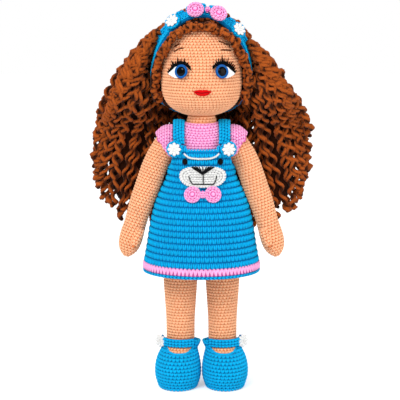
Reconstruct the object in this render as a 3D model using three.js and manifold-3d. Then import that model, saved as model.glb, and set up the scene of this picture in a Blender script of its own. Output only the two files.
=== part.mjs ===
// A crocheted doll, standing, with corkscrew curls, a headband, a pink top,
// a blue pinafore dress with a bear's face on its bib, and strap shoes.
// Millimetres, +Z up. The doll faces -Y and her left side is on +X.
// The origin lies on the floor, in the middle of her width and depth.
import * as THREE from 'three';
import { mergeVertices } from 'three/addons/utils/BufferGeometryUtils.js';
import Module from 'manifold-3d';

const wasm = await Module();
wasm.setup();

// Clearances
const gap = 0.3; // between two pieces that touch
const arm_clearance = 0.5; // between the arm and the sleeve
const cut_overrun = 60; // how far a cutting shape runs past what it cuts
const short_overrun = 15; // the same, where other cuts lie near
const weld_reach = 0.001; // corners nearer than this become one
const slope_reach = 3.15; // a slope of the head is taken over this distance

// Legs and feet
const leg_offset = 19.1; // from the middle plane to the middle of the ankle
const leg_top = 140; // height of the leg's top, before the torso cuts it
const ankle_radius = 12.3;
const thigh_radius = 16;
const ankle_height = 40;
const foot_half_width = 17;
const foot_length = 47;
const foot_forward = 9.6; // from the ankle's axis forward to the foot's middle
const foot_outward = 2.2; // the foot's middle lies this much outside the ankle's

// Shoes
const sole_thickness = 3.4;
const shoe_rim_thickness = 2.2;
const shoe_throat_height = 31; // lowest point of the opening, at its front
const shoe_throat_reach = 23; // from the ankle's axis forward to that point
const shoe_side_height = 38; // rim height beside the ankle
const shoe_heel_height = 44;
const shoe_strap_width = 8;
const shoe_strap_thickness = 2.4;
const shoe_strap_stand_off = 1.1; // from the rim to the strap
const shoe_strap_bottom = 36.6;
const shoe_strap_hinge_angle = 141; // round the ankle from its outer side, by the front
const shoe_strap_end_angle = -12;
const shoe_strap_root_angle = 188;
const shoe_flower_radius = 6.3;
const shoe_flower_angle = 12; // from straight outward, round to the front

// Torso and neck
const torso_bottom = 126;
const torso_height = 124; // up to the top of the neck, before the head cuts it
const hip_half_width = 35;
const hip_half_depth = 27;
const neck_radius = 12.5;

// Head
const head_bottom = 245;
const head_height = 88;
const head_half_width = 36.5;
const head_half_depth = 34.3;
const rod_radius = 3;
const rod_bottom = 205;
const rod_rise = 41; // how far the rod reaches up into the head
const rod_top = head_bottom + rod_rise;

// Arms
const shoulder_out = 28.5; // from the middle plane to the arm's pivot
const shoulder_height = 223.5;
const shoulder_flat = 21.2; // the arm's inner end is flat at this distance from the middle plane
const arm_radius = 11;
const arm_drop = 105.5; // from the pivot down to the finger tips
const arm_spread = 39.5; // from the pivot out to the finger tips
const arm_forward = 5; // the hand lies this much in front of the pivot
const thumb_radius = 3.6;
const thumb_length = 19;

// Eyes and lips
const eye_out = 16.6;
const eye_rise = 41.5; // from the head's lowest point
const eye_height = head_bottom + eye_rise;
const eye_radius = 6.2;
const eye_dome = 1.6;
const pupil_radius = 4.1;
const pupil_dome = 1.7;
const eye_post_radius = 2;
const eye_post_length = 9;
const washer_radius = 6.5;
const washer_thickness = 1.6;
const washer_depth = 3.2; // under the head's surface
const felt_thickness = 0.9;
const lip_half_width = 8.2;
const lip_rise = 23.6; // from the head's lowest point
const lip_height = head_bottom + lip_rise;
const lip_half_height = 2.8;
const lip_side_shift = 0.8; // towards her left
const lip_thickness = 1.3;

// Wig, with its cap, fringe and three masses of curls
const cap_thickness = 4.4;
const cap_rise = 6; // the cap's edge, above the head's lowest point
const cap_bottom = head_bottom + cap_rise;
const fringe_radius = 4.4;
const fringe_curls = 17;
const fringe_top_reach = 21.5; // in front of the head's middle
const fringe_top_rise = 78; // above the head's lowest point, as is the next rise
const fringe_top_height = head_bottom + fringe_top_rise;
const fringe_low_reach = 0.4; // beside the jaw
const fringe_low_rise = 12;
const fringe_low_height = head_bottom + fringe_low_rise;
const hair_top = head_bottom + head_height;
const hair_height = 188;
const hair_half_width = 101.5;
const hair_back = 57;
const hair_lock_share = 0.16; // depth of the grooves between locks, of the mass's width
const hair_lock_turns = 0.5; // each lock winds this far round its mass
const hair_wave_share = 0.06; // depth of the waves down each lock, of the mass's width
const side_hair_locks = 7;
const back_hair_locks = 8;

// Headband
const band_thickness = 3.6;
const band_width = 12.5;
const band_top_reach = 9; // in front of the head's middle, at the crown
const band_top_rise = 89; // above the head's lowest point, as is the next rise
const band_top_height = head_bottom + band_top_rise;
const band_low_reach = -27; // behind the head's middle, at the nape
const band_low_rise = 7;
const band_low_height = head_bottom + band_low_rise;
const band_fall = 2.4; // how late the band turns back towards the nape
const bobble_radius = 4.3;
const bobble_count = 11;
const bobble_spacing = 9.8; // along the band
const bobble_back = 6.9; // from the band's middle line to the bobbles' middles
const bobble_rise = 3.1; // from the band's inner face to the bobbles' middles
const band_disc_radius = 7.8;
const band_disc_thickness = 2.2;
const band_disc_out = 29; // to each side of the bow's middle
const band_turn = 4.4; // the bow sits this far towards her left
const band_trim_forward = 3; // discs and bow sit this far before the band's middle line
const bow_lobe_radius = 7.8;
const bow_lobe_thickness = 4.2;
const bow_lobe_spacing = 17.6;
const bow_knot_half_width = 2.6;
const bow_knot_half_height = 4.4;
const flower_radius = 6.3;
const flower_thickness = 1.8;
const flower_petals = 8;

// Pink top
const top_thickness = 1.9;
const top_hem_height = 178;
const collar_height = 239.6;
const yoke_radius = 14; // the shoulder's roundness, over the arm's pivot
const armhole_ease = 1.6; // between the arm and the round of the armhole
const armhole_low_radius = 17; // from the pivot, under the arm
const armhole_split = 1.4; // from the pivot down to where the armhole widens
const sleeve_seam = 25.2; // from the middle plane to the sleeve's seam
const sleeve_thickness = 2.7;
const sleeve_hem_out = 40.8; // outer end of the hem line
const sleeve_hem_height = 228.8;
const sleeve_hem_low_out = 30.8; // lower end of the hem line
const sleeve_hem_low_height = 212.5;
const sleeve_under_height = 210; // the sleeve is open under the arm, below this

// Dress
const hem_height = 105;
const hem_half_width = 53.4;
const hem_half_depth = 45;
const dress_side_height = 198; // the edge under the arm and across the back
const dress_side_half_width = 29.7;
const dress_side_half_depth = 26.2;
const dress_thickness = 1.6;
const dress_round = 5.4; // height of one crochet round
const dress_groove = 0.7; // depth of the groove between two rounds
const last_round_height = 3; // the blue round under the pink one
const pink_round_height = 6;
const bib_top_height = 217;
const bib_corner_height = 220.5;
const bib_top_half_width = 13;
const bib_half_width = 24.8;
const bib_flatness = 40; // the larger, the flatter the bib lies across the chest
const bib_foot_rise = 4.3; // the bib's sides start this far above the side edge
const dress_strap_width = 10.6;
const dress_strap_thickness = 2.2;
const dress_strap_rise = 2.3; // how far the strap stands off the shoulder
const dress_strap_out = 20.2; // the strap's middle, on the shoulder
const dress_strap_back_out = 16.5;
const dress_strap_front_tilt = 20; // degrees, as are the next two
const dress_strap_back_tilt = 30;
const dress_strap_angles = [66, 40, 14, -12, -38, -66]; // over the shoulder, from the front
const ear_tilt = 8; // degrees outward
const ear_radius = 7.8;
const ear_thickness = 2;
const ear_out = 23.6;
const ear_height = 218;
const cord_radius = 0.8;
const cord_drop = 7.4; // below the bib's top edge, at the cord's middle
const cord_end_drop = 3.9; // below the ears' middles

// Bear's face on the bib
const bear_shift = 1; // the face sits this far towards her left
const bear_eye_out = 15.4;
const bear_eye_height = 207;
const bear_eye_half_width = 2.1;
const bear_eye_half_height = 2.8;
const bear_eye_thickness = 1.3;
const muzzle_height = 194;
const muzzle_half_width = 20.4;
const muzzle_half_height = 10;
const muzzle_thickness = 2.6;
const nose_height = 199.6;
const nose_half_width = 10.4;
const nose_half_height = 3.6;
const nose_thickness = 1;
const dress_bow_height = 178.7;
const dress_bow_lobe_radius = 7.7;
const dress_bow_spacing = 16.6;
const dress_bow_thickness = 3.4;

// Colours
const skin = 0xf5be96;
const blue = 0x00a8e6;
const pink = 0xf9a0d7;
const white = 0xf6f6f4;
const brown = 0x964b19;
const black = 0x0c0c0e;
const red = 0xdc0000;
const iris_blue = 0x145aaa;
const wood = 0xc8a878;

// Numbers of facets
const body_sides = 16;
const foot_sides = 14;
const limb_sides = 10;
const dress_sides = 20;
const button_sides = 12;
const small_sides = 8;
const petal_steps = 2;
const rod_sides = 12;
const fringe_sides = 6;
const lock_sides = 3;
const leg_rings = 15;
const torso_rings = 15;
const head_rings = 16;
const arm_rings = 12;
const thumb_rings = 5;
const dress_rings = 20;
const hair_rings = 16;
const band_steps = 36;
const shoe_strap_steps = 12;
const dress_strap_steps = 13;
const cord_steps = 12;

const group = new THREE.Group();

function add(name, geometry, color, roughness = 0.95) {
  const material = new THREE.MeshStandardMaterial({ color, roughness, metalness: 0 });
  const mesh = new THREE.Mesh(geometry, material);
  mesh.name = name;
  group.add(mesh);
  return mesh;
}

// Closed geometry to solid, and back
function solid(geometry) {
  const bare = geometry.index ? geometry.clone() : geometry;
  bare.deleteAttribute('normal');
  bare.deleteAttribute('uv');
  const merged = mergeVertices(bare, weld_reach);
  const made = new wasm.Manifold(new wasm.Mesh({
    numProp: 3,
    vertProperties: merged.attributes.position.array,
    triVerts: new Uint32Array(merged.index.array),
  }));
  if (made.volume() >= 0) return made;
  const turned = new Uint32Array(merged.index.array);
  for (let i = 0; i < turned.length; i += 3) {
    [turned[i + 1], turned[i + 2]] = [turned[i + 2], turned[i + 1]];
  }
  return new wasm.Manifold(new wasm.Mesh({
    numProp: 3,
    vertProperties: merged.attributes.position.array,
    triVerts: turned,
  }));
}

function geometryOf(made) {
  const mesh = made.getMesh();
  const geometry = new THREE.BufferGeometry();
  const corners = [];
  for (let i = 0; i < mesh.vertProperties.length; i += mesh.numProp) {
    corners.push(...mesh.vertProperties.slice(i, i + 3));
  }
  geometry.setAttribute('position', new THREE.Float32BufferAttribute(corners, 3));
  geometry.setIndex(Array.from(mesh.triVerts));
  geometry.computeVertexNormals();
  return geometry;
}

// A closed skin over rings of points, with a fan to a point at each end,
// or, without end points, closed from the last ring to the first
function skinOver(rings, first, last) {
  const points = [];
  const faces = [];
  const sides = rings[0].length;
  rings.forEach((ring) => ring.forEach((p) => points.push(p.x, p.y, p.z)));
  const closed = !first;
  const steps = closed ? rings.length : rings.length - 1;
  for (let i = 0; i < steps; i += 1) {
    const here = i * sides;
    const next = ((i + 1) % rings.length) * sides;
    for (let j = 0; j < sides; j += 1) {
      const k = (j + 1) % sides;
      faces.push(here + j, here + k, next + k, here + j, next + k, next + j);
    }
  }
  if (!closed) {
    const low = points.length / 3;
    points.push(first.x, first.y, first.z, last.x, last.y, last.z);
    const top = (rings.length - 1) * sides;
    for (let j = 0; j < sides; j += 1) {
      const k = (j + 1) % sides;
      faces.push(low, k, j, low + 1, top + j, top + k);
    }
  }
  const geometry = new THREE.BufferGeometry();
  geometry.setAttribute('position', new THREE.Float32BufferAttribute(points, 3));
  geometry.setIndex(faces);
  return solid(geometry);
}

// A form made of level rings. Each level is { z, x, y, w, d }: its height, its
// middle, its half width and its half depth.
function smoothLevels(levels, count) {
  const sizes = new THREE.CatmullRomCurve3(
    levels.map((l) => new THREE.Vector3(l.w, l.d, l.z)), false, 'centripetal');
  const middles = new THREE.CatmullRomCurve3(
    levels.map((l) => new THREE.Vector3(l.x ?? 0, l.y ?? 0, l.z)), false, 'centripetal');
  const made = [];
  const last = levels.length - 1;
  for (let i = 0; i <= count; i += 1) {
    const t = i / count;
    const s = sizes.getPoint(t);
    const m = middles.getPoint(t);
    const part = t * last;
    const low = levels[Math.min(Math.floor(part), last)];
    const high = levels[Math.min(Math.floor(part) + 1, last)];
    const mix = part - Math.floor(part);
    const share = (low.grow ?? 1) * (1 - mix) + (high.grow ?? 1) * mix;
    made.push({ z: s.z, x: m.x, y: m.y, w: s.x, d: s.y, grow: share });
  }
  return made;
}

// The levels moved out by a distance, square to the form's own slope
function grown(levels, distance) {
  const last = levels.length - 1;
  return levels.map((l, i) => {
    const before = levels[Math.max(i - 1, 0)];
    const after = levels[Math.min(i + 1, last)];
    const rise = after.z - before.z;
    const out = (after.w + after.d - before.w - before.d) / 2;
    const length = Math.hypot(rise, out) || 1;
    const by = distance * l.grow;
    const side = i === 0 || i === last ? 1 : rise / length;
    const up = i === 0 ? -1 : i === last ? 1 : -out / length;
    return { ...l, w: l.w + by * side, d: l.d + by * side, z: l.z + by * up };
  });
}

function ringOf(level, sides, shape = () => 1) {
  const ring = [];
  for (let j = 0; j < sides; j += 1) {
    const a = (j / sides) * 2 * Math.PI;
    const r = shape(a, level);
    ring.push(new THREE.Vector3(
      level.x + level.w * r * Math.cos(a), level.y + level.d * r * Math.sin(a), level.z));
  }
  return ring;
}

function stack(levels, sides, shape) {
  const rings = levels.map((l) => ringOf(l, sides, shape));
  const first = levels[0];
  const last = levels[levels.length - 1];
  return skinOver(rings, new THREE.Vector3(first.x, first.y, first.z),
    new THREE.Vector3(last.x, last.y, last.z));
}

// Half width and half depth of a form at a height
function sizeAt(levels, z) {
  for (let i = 0; i + 1 < levels.length; i += 1) {
    const low = levels[i];
    const high = levels[i + 1];
    if (low.z <= z && z <= high.z) {
      const t = (z - low.z) / (high.z - low.z);
      return { w: low.w + (high.w - low.w) * t, d: low.d + (high.d - low.d) * t };
    }
  }
  const end = z < levels[0].z ? levels[0] : levels[levels.length - 1];
  return { w: end.w, d: end.d };
}

// The front of a form: its point and its outward direction at (x, z)
function frontOf(levels) {
  return (x, z) => {
    const depth = (px, pz) => {
      const s = sizeAt(levels, pz);
      return -s.d * Math.sqrt(Math.max(0, 1 - (px / s.w) ** 2));
    };
    const y = depth(x, z);
    const normal = new THREE.Vector3(
      (depth(x + gap, z) - depth(x - gap, z)) / (2 * gap), -1,
      (depth(x, z + gap) - depth(x, z - gap)) / (2 * gap)).normalize();
    return { point: new THREE.Vector3(x, y, z), normal };
  };
}

// A cut-out shape: an outline in (y, z) or (x, z), run straight through
function runThroughX(points, from, to) {
  const shape = new THREE.Shape(points.map(([y, z]) => new THREE.Vector2(y, z)));
  const made = new THREE.ExtrudeGeometry(shape, { depth: to - from, bevelEnabled: false });
  const axes = new THREE.Matrix4().makeBasis(
    new THREE.Vector3(0, 1, 0), new THREE.Vector3(0, 0, 1), new THREE.Vector3(1, 0, 0));
  return solid(made.applyMatrix4(axes).translate(from, 0, 0));
}

function runThroughY(points, from, to) {
  const shape = new THREE.Shape(points.map(([x, z]) => new THREE.Vector2(x, z)));
  const made = new THREE.ExtrudeGeometry(shape, { depth: to - from, bevelEnabled: false });
  const axes = new THREE.Matrix4().makeBasis(
    new THREE.Vector3(1, 0, 0), new THREE.Vector3(0, 0, 1), new THREE.Vector3(0, -1, 0));
  return solid(made.applyMatrix4(axes).translate(0, to, 0));
}

function boxBetween(low, high) {
  const [x0, y0, z0] = low;
  const [x1, y1, z1] = high;
  const made = new THREE.BoxGeometry(x1 - x0, y1 - y0, z1 - z0);
  return solid(made.translate((x0 + x1) / 2, (y0 + y1) / 2, (z0 + z1) / 2));
}

function placed(made, point, direction) {
  const up = new THREE.Vector3(0, 0, 1);
  const z = direction.clone().normalize();
  const x = new THREE.Vector3().crossVectors(up, z).normalize();
  const y = new THREE.Vector3().crossVectors(z, x);
  const matrix = new THREE.Matrix4().makeBasis(x, y, z).setPosition(point);
  return made.transform(matrix.elements);
}

function mirrored(made) {
  return made.mirror([1, 0, 0]);
}

// A turned piece, from a profile of [radius, height] with its axis along +Z
function turned(profile, sides) {
  const points = profile.map(([r, z]) => new THREE.Vector2(r, z));
  const lathe = new THREE.LatheGeometry(points, sides);
  return solid(lathe.rotateX(Math.PI / 2));
}

// A small flat disc whose rim is lobed
function flower(radius, thickness) {
  const petal_share = 0.1;
  const steps = flower_petals * petal_steps;
  const ring = (share, z) => {
    const points = [];
    for (let j = 0; j < steps; j += 1) {
      const a = (j / steps) * 2 * Math.PI;
      const r = radius * share * (1 + petal_share * Math.cos(flower_petals * a));
      points.push(new THREE.Vector3(r * Math.cos(a), r * Math.sin(a), z));
    }
    return points;
  };
  const rim_share = 0.9;
  const eye_share = 0.55;
  const dip_share = 0.6;
  return skinOver([ring(rim_share, 0), ring(1 / (1 + petal_share), thickness / 2),
    ring(eye_share, thickness)],
  new THREE.Vector3(0, 0, 0), new THREE.Vector3(0, 0, thickness * dip_share));
}

// A crocheted rosette: a round of cloth rolled up, with a raised rim and middle
function rosette(radius, thickness) {
  const profile_shares = [[0, 0], [0.86, 0], [1, 0.42], [0.84, 0.95], [0.6, 0.62], [0.34, 0.7],
    [0, 1]];
  return turned(profile_shares.map(([r, z]) => [r * radius, z * thickness]), button_sides);
}

function disc(radius, thickness) {
  const edge = thickness / 3;
  return turned([[0, 0], [radius - edge, 0], [radius, edge], [radius, thickness - edge],
    [radius - edge, thickness], [0, thickness]], button_sides);
}

// A piece laid on a curved front. Its outline is a list of [x, z] round its
// middle, and its height falls to an edge share at the rim.
function laid(outline, middle, front, lift, height, edge_share = 0.5, ring_shares = [1, 0.6]) {
  const rings = [];
  const at = (share, rise) => outline.map(([x, z]) => {
    const px = middle[0] + (x - middle[0]) * share;
    const pz = middle[1] + (z - middle[1]) * share;
    const { point, normal } = front(px, pz);
    return point.addScaledVector(normal, rise);
  });
  [...ring_shares].reverse().forEach((share) => rings.push(at(share, lift)));
  ring_shares.forEach((share, i) => {
    const rise = i === 0 ? height * edge_share : height * (1 - (1 - edge_share) * share ** 3);
    rings.push(at(share, lift + rise));
  });
  const low = front(...middle);
  const high = front(...middle);
  return skinOver(rings, low.point.addScaledVector(low.normal, lift),
    high.point.addScaledVector(high.normal, lift + height));
}

function oval(x, z, half_width, half_height, sides, squareness = 1) {
  const points = [];
  for (let j = 0; j < sides; j += 1) {
    const a = (j / sides) * 2 * Math.PI;
    const c = Math.cos(a);
    const s = Math.sin(a);
    points.push([x + half_width * Math.sign(c) * Math.abs(c) ** squareness,
      z + half_height * Math.sign(s) * Math.abs(s) ** squareness]);
  }
  return points;
}

// A tube whose section is an ellipse, along a smooth route. Each station is
// { p, a, b }: its middle, its half size across the route in the XZ plane and
// its half size along Y. Its ends are round.
function limb(stations, sides, grow, rings) {
  const route = new THREE.CatmullRomCurve3(stations.map((s) => s.p), false, 'centripetal');
  const sizes = new THREE.CatmullRomCurve3(
    stations.map((s, i) => new THREE.Vector3(s.a, s.b, i * arm_radius)), false, 'centripetal');
  const made = [];
  const section = (middle, along, a, b) => {
    const across = new THREE.Vector3(along.z, 0, -along.x).normalize();
    const ring = [];
    for (let j = 0; j < sides; j += 1) {
      const angle = (j / sides) * 2 * Math.PI;
      ring.push(middle.clone().addScaledVector(across, a * Math.cos(angle))
        .add(new THREE.Vector3(0, b * Math.sin(angle), 0)));
    }
    return ring;
  };
  const start = route.getPoint(0);
  const out = route.getTangent(0);
  const dome = stations[0].a + grow;
  const dome_steps = 3;
  for (let i = 1; i < dome_steps; i += 1) {
    const angle = (i / dome_steps) * (Math.PI / 2);
    made.push(section(start.clone().addScaledVector(out, -dome * Math.cos(angle)), out,
      dome * Math.sin(angle), (stations[0].b + grow) * Math.sin(angle)));
  }
  for (let i = 0; i < rings; i += 1) {
    const t = i / rings;
    const size = sizes.getPoint(t);
    made.push(section(route.getPoint(t), route.getTangent(t), size.x + grow, size.y + grow));
  }
  const end = route.getPoint(1).addScaledVector(route.getTangent(1), grow);
  return skinOver(made, start.addScaledVector(out, -dome), end);
}

// Legs, feet and shoes. A level is [height share, outward share, forward
// share, width share, length share], and past the ankle a share of the leg.
const foot_bottom = sole_thickness + gap;
const foot_rise = ankle_height - foot_bottom;
const foot_level_shares = [
  [0, 1, 0.82, 0.8, 0.86],
  [0.1, 1, 0.92, 0.95, 0.955],
  [0.27, 1, 1, 1, 1],
  [0.43, 1, 0.96, 0.99, 0.97],
  [0.6, 0.9, 0.76, 0.93, 0.88],
  [0.77, 0.5, 0.4, 0.81, 0.72],
  [0.93, 0.1, 0.08, 0.725, 0.57],
];
const leg_level_shares = [
  [0, 0],
  [0.2, 0.06],
  [0.4, 0.42],
  [0.56, 0.72],
  [0.78, 0.93],
  [1, 1],
];
const wall_shares = [1, 1, 1, 1, 0.92, 0.76, 0.62];

function legLevels() {
  const half_length = foot_length / 2;
  const foot = foot_level_shares.map(([up, out, ahead, wide, long], i) => ({
    z: foot_bottom + foot_rise * up,
    x: leg_offset + foot_outward * out,
    y: -foot_forward * ahead,
    w: foot_half_width * wide,
    d: half_length * long,
    grow: wall_shares[i],
  }));
  const leg = leg_level_shares.map(([up, swell]) => {
    const r = ankle_radius + (thigh_radius - ankle_radius) * swell;
    const z = ankle_height + (leg_top - ankle_height) * up;
    return { z, x: leg_offset, y: 0, w: r, d: r, grow: shoe_rim_thickness / sole_thickness };
  });
  return [...foot, ...leg];
}
const leg_levels = smoothLevels(legLevels(), leg_rings);

// Torso, with the neck in one. A level is [height share, width share, depth share].
const torso_level_shares = [
  [0, 0.72, 0.62],
  [0.035, 0.94, 0.92],
  [0.12, 1, 1],
  [0.24, 0.955, 0.98],
  [0.36, 0.87, 0.92],
  [0.48, 0.785, 0.85],
  [0.59, 0.7, 0.785],
  [0.66, 0.64, 0.745],
  [0.72, 0.595, 0.7],
  [0.79, 0.585, 0.65],
  [0.84, 0.555, 0.59],
  [0.88, 0.465, 0.525],
];
const neck_level_shares = [0.915, 0.95, 1];
const torso_levels = smoothLevels([
  ...torso_level_shares.map(([up, wide, deep]) => ({
    z: torso_bottom + torso_height * up,
    w: hip_half_width * wide,
    d: hip_half_depth * deep,
  })),
  ...neck_level_shares.map((share) => ({
    z: torso_bottom + torso_height * share,
    w: neck_radius,
    d: neck_radius,
  })),
], torso_rings);

// Head, an egg that is fuller below its middle
const head_level_shares = [
  [0, 0.1],
  [0.011, 0.32],
  [0.037, 0.52],
  [0.091, 0.75],
  [0.153, 0.885],
  [0.235, 0.97],
  [0.33, 1],
  [0.455, 0.992],
  [0.58, 0.94],
  [0.69, 0.855],
  [0.795, 0.725],
  [0.885, 0.555],
  [0.955, 0.35],
  [0.99, 0.17],
  [1, 0.06],
];
const head_levels = smoothLevels(head_level_shares.map(([up, wide]) => ({
  z: head_bottom + head_height * up,
  w: head_half_width * wide,
  d: head_half_depth * wide,
})), head_rings);
const head_front = frontOf(head_levels);
const headForm = (grow) => stack(grown(head_levels, grow), body_sides);
const torsoForm = (grow) => stack(grown(torso_levels, grow), body_sides);

function neckRod() {
  const length = rod_top - rod_bottom;
  const bevel = rod_radius / 3;
  const rod = turned([[0, 0], [rod_radius - bevel, 0], [rod_radius, bevel],
    [rod_radius, length - bevel], [rod_radius - bevel, length], [0, length]], rod_sides);
  const bore = turned([[0, -gap], [rod_radius + gap, -gap], [rod_radius + gap, length + gap],
    [0, length + gap]], rod_sides);
  return { rod: rod.translate([0, 0, rod_bottom]), bore: bore.translate([0, 0, rod_bottom]) };
}
const neck = neckRod();

const torso = torsoForm(0).subtract(headForm(gap)).subtract(neck.bore);
add('torso', geometryOf(torso), skin);
add('neck_rod', geometryOf(neck.rod), wood, 0.7);

// One shoe and one leg are made on her left and mirrored for her right.
// Its rim falls from the heel to the throat: [reach share, rise share].
const rim_front_shares = [[1, 0], [0.66, 0.2], [0.36, 0.6], [0, 1]];
const rim_back_shares = [[0.66, 0.45], [1.3, 1]];
function shoeRim() {
  const front_rise = shoe_side_height - shoe_throat_height;
  const back_rise = shoe_heel_height - shoe_side_height;
  const points = [
    [-cut_overrun, shoe_throat_height + sole_thickness],
    [-shoe_throat_reach - sole_thickness, shoe_throat_height + shoe_rim_thickness / 2],
    ...rim_front_shares.map(([ahead, up]) => [-shoe_throat_reach * ahead,
      shoe_throat_height + front_rise * up]),
    ...rim_back_shares.map(([behind, up]) => [ankle_radius * behind,
      shoe_side_height + back_rise * up]),
    [foot_length, shoe_heel_height],
    [foot_length, leg_top + cut_overrun],
    [-cut_overrun, leg_top + cut_overrun],
  ];
  return runThroughX(points, -cut_overrun, cut_overrun * 2);
}

// Part of a ring round the ankle, as tall as the shoe's strap. It reaches
// inward past the strap's own thickness where it is worked into the rim.
const strap_inner = ankle_radius + shoe_strap_stand_off + shoe_rim_thickness;
const strap_middle = strap_inner + shoe_strap_thickness / 2;
function ankleArc(from_angle, to_angle, steps, inward = 0) {
  const half = shoe_strap_thickness / 2;
  const low = -half - inward;
  const edge = shoe_strap_thickness / 3;
  const rings = [];
  const section = [[low, 0], [low, shoe_strap_width], [half - edge, shoe_strap_width],
    [half, shoe_strap_width - edge], [half, edge], [half - edge, 0]];
  for (let i = 0; i <= steps; i += 1) {
    const a = THREE.MathUtils.degToRad(from_angle + ((to_angle - from_angle) * i) / steps);
    rings.push(section.map(([r, z]) => new THREE.Vector3(
      leg_offset + (strap_middle + r) * Math.cos(a), -(strap_middle + r) * Math.sin(a),
      shoe_strap_bottom + z)));
  }
  const middleOf = (ring) => ring.reduce((sum, p) => sum.add(p), new THREE.Vector3())
    .divideScalar(ring.length);
  return skinOver(rings, middleOf(rings[0]), middleOf(rings[rings.length - 1]));
}

function ankleAt(angle, radius) {
  const a = THREE.MathUtils.degToRad(angle);
  return [leg_offset + radius * Math.cos(a), -radius * Math.sin(a)];
}

function post(x, y, radius, bottom, top) {
  const made = turned([[0, bottom], [radius, bottom], [radius, top], [0, top]], foot_sides);
  return made.translate([x, y, 0]);
}

function footwear() {
  const foot = stack(leg_levels, foot_sides);
  const outer = stack(grown(leg_levels, sole_thickness + gap), foot_sides);
  const [hinge_x, hinge_y] = ankleAt(shoe_strap_hinge_angle, strap_middle);
  const top = shoe_strap_bottom + shoe_strap_width;
  const barrel = post(hinge_x, hinge_y, shoe_strap_thickness / 2, shoe_strap_bottom, top);
  const socket = post(hinge_x, hinge_y, shoe_strap_thickness / 2 + gap,
    shoe_strap_bottom - short_overrun, top + short_overrun);
  const root = ankleArc(shoe_strap_hinge_angle, shoe_strap_root_angle, shoe_strap_steps / 2,
    shoe_rim_thickness / 2 + shoe_strap_stand_off);
  const upper = outer.subtract(shoeRim());
  const shoe = upper.add(root).subtract(socket)
    .subtract(stack(grown(leg_levels, gap), foot_sides));
  const strap = ankleArc(shoe_strap_end_angle, shoe_strap_hinge_angle, shoe_strap_steps).add(barrel);
  const leg = foot.subtract(torsoForm(gap));
  const [fx, fy] = ankleAt(shoe_flower_angle, strap_middle + shoe_strap_thickness / 2 + gap);
  const [cx, cy] = ankleAt(shoe_flower_angle, 0);
  const out = new THREE.Vector3(fx - cx, fy - cy, 0);
  const at = new THREE.Vector3(fx, fy, shoe_strap_bottom + shoe_strap_width / 2);
  const bloom = placed(flower(shoe_flower_radius, flower_thickness), at, out);
  return { leg, shoe, strap, bloom };
}
const foot = footwear();
[['left', (m) => m], ['right', mirrored]].forEach(([side, turn]) => {
  add(`${side}_leg`, geometryOf(turn(foot.leg)), skin);
  add(`${side}_shoe`, geometryOf(turn(foot.shoe)), blue);
  add(`${side}_shoe_strap`, geometryOf(turn(foot.strap)), blue);
  add(`${side}_shoe_flower`, geometryOf(turn(foot.bloom)), white);
});

// Arms. A station is [outward share, drop share, forward share, half width
// share, half depth share].
const arm_station_shares = [
  [0, 0, 0, 0.98, 0.98],
  [0.18, 0.1, 0, 1, 1],
  [0.318, 0.199, 0.05, 1.02, 1],
  [0.515, 0.405, 0.25, 1, 0.98],
  [0.669, 0.559, 0.45, 0.945, 0.92],
  [0.772, 0.69, 0.65, 0.86, 0.82],
  [0.862, 0.8, 0.85, 0.95, 0.76],
  [0.93, 0.894, 1, 0.9, 0.66],
  [0.975, 0.958, 1.05, 0.6, 0.46],
  [1, 1, 1.05, 0.1, 0.1],
];
const arm_stations = arm_station_shares.map(([out, down, ahead, wide, deep]) => ({
  p: new THREE.Vector3(shoulder_out + arm_spread * out, -arm_forward * ahead,
    shoulder_height - arm_drop * down),
  a: arm_radius * wide,
  b: arm_radius * deep,
}));
const armForm = (grow) => limb(arm_stations, limb_sides, grow, arm_rings);
const beside = (from) => boxBetween([from, -cut_overrun * 2, 0],
  [cut_overrun * 2, cut_overrun * 2, head_bottom + head_height]);
const arm = armForm(0).intersect(beside(shoulder_flat));

// Thumb, from the wrist to the palm. Its ends are given from there as shares
// of the arm's radius inward and forward, and of the thumb's length down.
const wrist_station = 5;
const palm_station = 7;
const thumb_root_shares = [0.43, 0.5, 0.32];
const thumb_tip_shares = [0.234, 0.95, 0.114];
const thumb_swell_shares = [[0, 1], [0.35, 1], [0.7, 1], [0.9, 0.75], [1, 0.2]];
function thumbForm() {
  const endAt = (station, [inward, ahead, down]) => arm_stations[station].p.clone()
    .add(new THREE.Vector3(-arm_radius * inward, -arm_radius * ahead, -thumb_length * down));
  const start = endAt(wrist_station, thumb_root_shares);
  const end = endAt(palm_station, thumb_tip_shares);
  const stations = thumb_swell_shares.map(([t, swell]) => ({
    p: start.clone().lerp(end, t),
    a: thumb_radius * swell,
    b: thumb_radius * swell,
  }));
  return limb(stations, small_sides - 2, 0, thumb_rings).subtract(armForm(gap));
}
const thumb = thumbForm();

// Pink top, cut clear of the arm's sweep about the shoulder pivot
function aroundShoulder(radius, from, to) {
  const made = turned([[0, from], [radius, from], [radius, to], [0, to]], dress_sides);
  const along_x = new THREE.Matrix4().makeBasis(
    new THREE.Vector3(0, 1, 0), new THREE.Vector3(0, 0, 1), new THREE.Vector3(1, 0, 0));
  return made.transform(along_x.setPosition(0, 0, shoulder_height).elements);
}

// Armhole: round over the shoulder, and wider below, where the leaning arm
// swings through
function armhole() {
  const from = shoulder_flat - gap;
  const far = cut_overrun * 2;
  const upper = aroundShoulder(arm_radius + armhole_ease, from, far);
  const lower = aroundShoulder(armhole_low_radius, from, far)
    .intersect(boxBetween([0, -far, 0], [far, far, shoulder_height - armhole_split]));
  return upper.add(lower);
}

function topShell() {
  const outside = torsoForm(top_thickness + gap)
    .add(aroundShoulder(yoke_radius, -sleeve_seam, sleeve_seam));
  const hole = armhole();
  const far = cut_overrun * 2;
  return outside.subtract(torsoForm(gap)).subtract(hole).subtract(mirrored(hole))
    .subtract(boxBetween([-far, -far, collar_height], [far, far, head_bottom + far]))
    .subtract(boxBetween([-far, -far, 0], [far, far, top_hem_height]));
}
const top = topShell();
add('top', geometryOf(top), pink);

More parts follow.
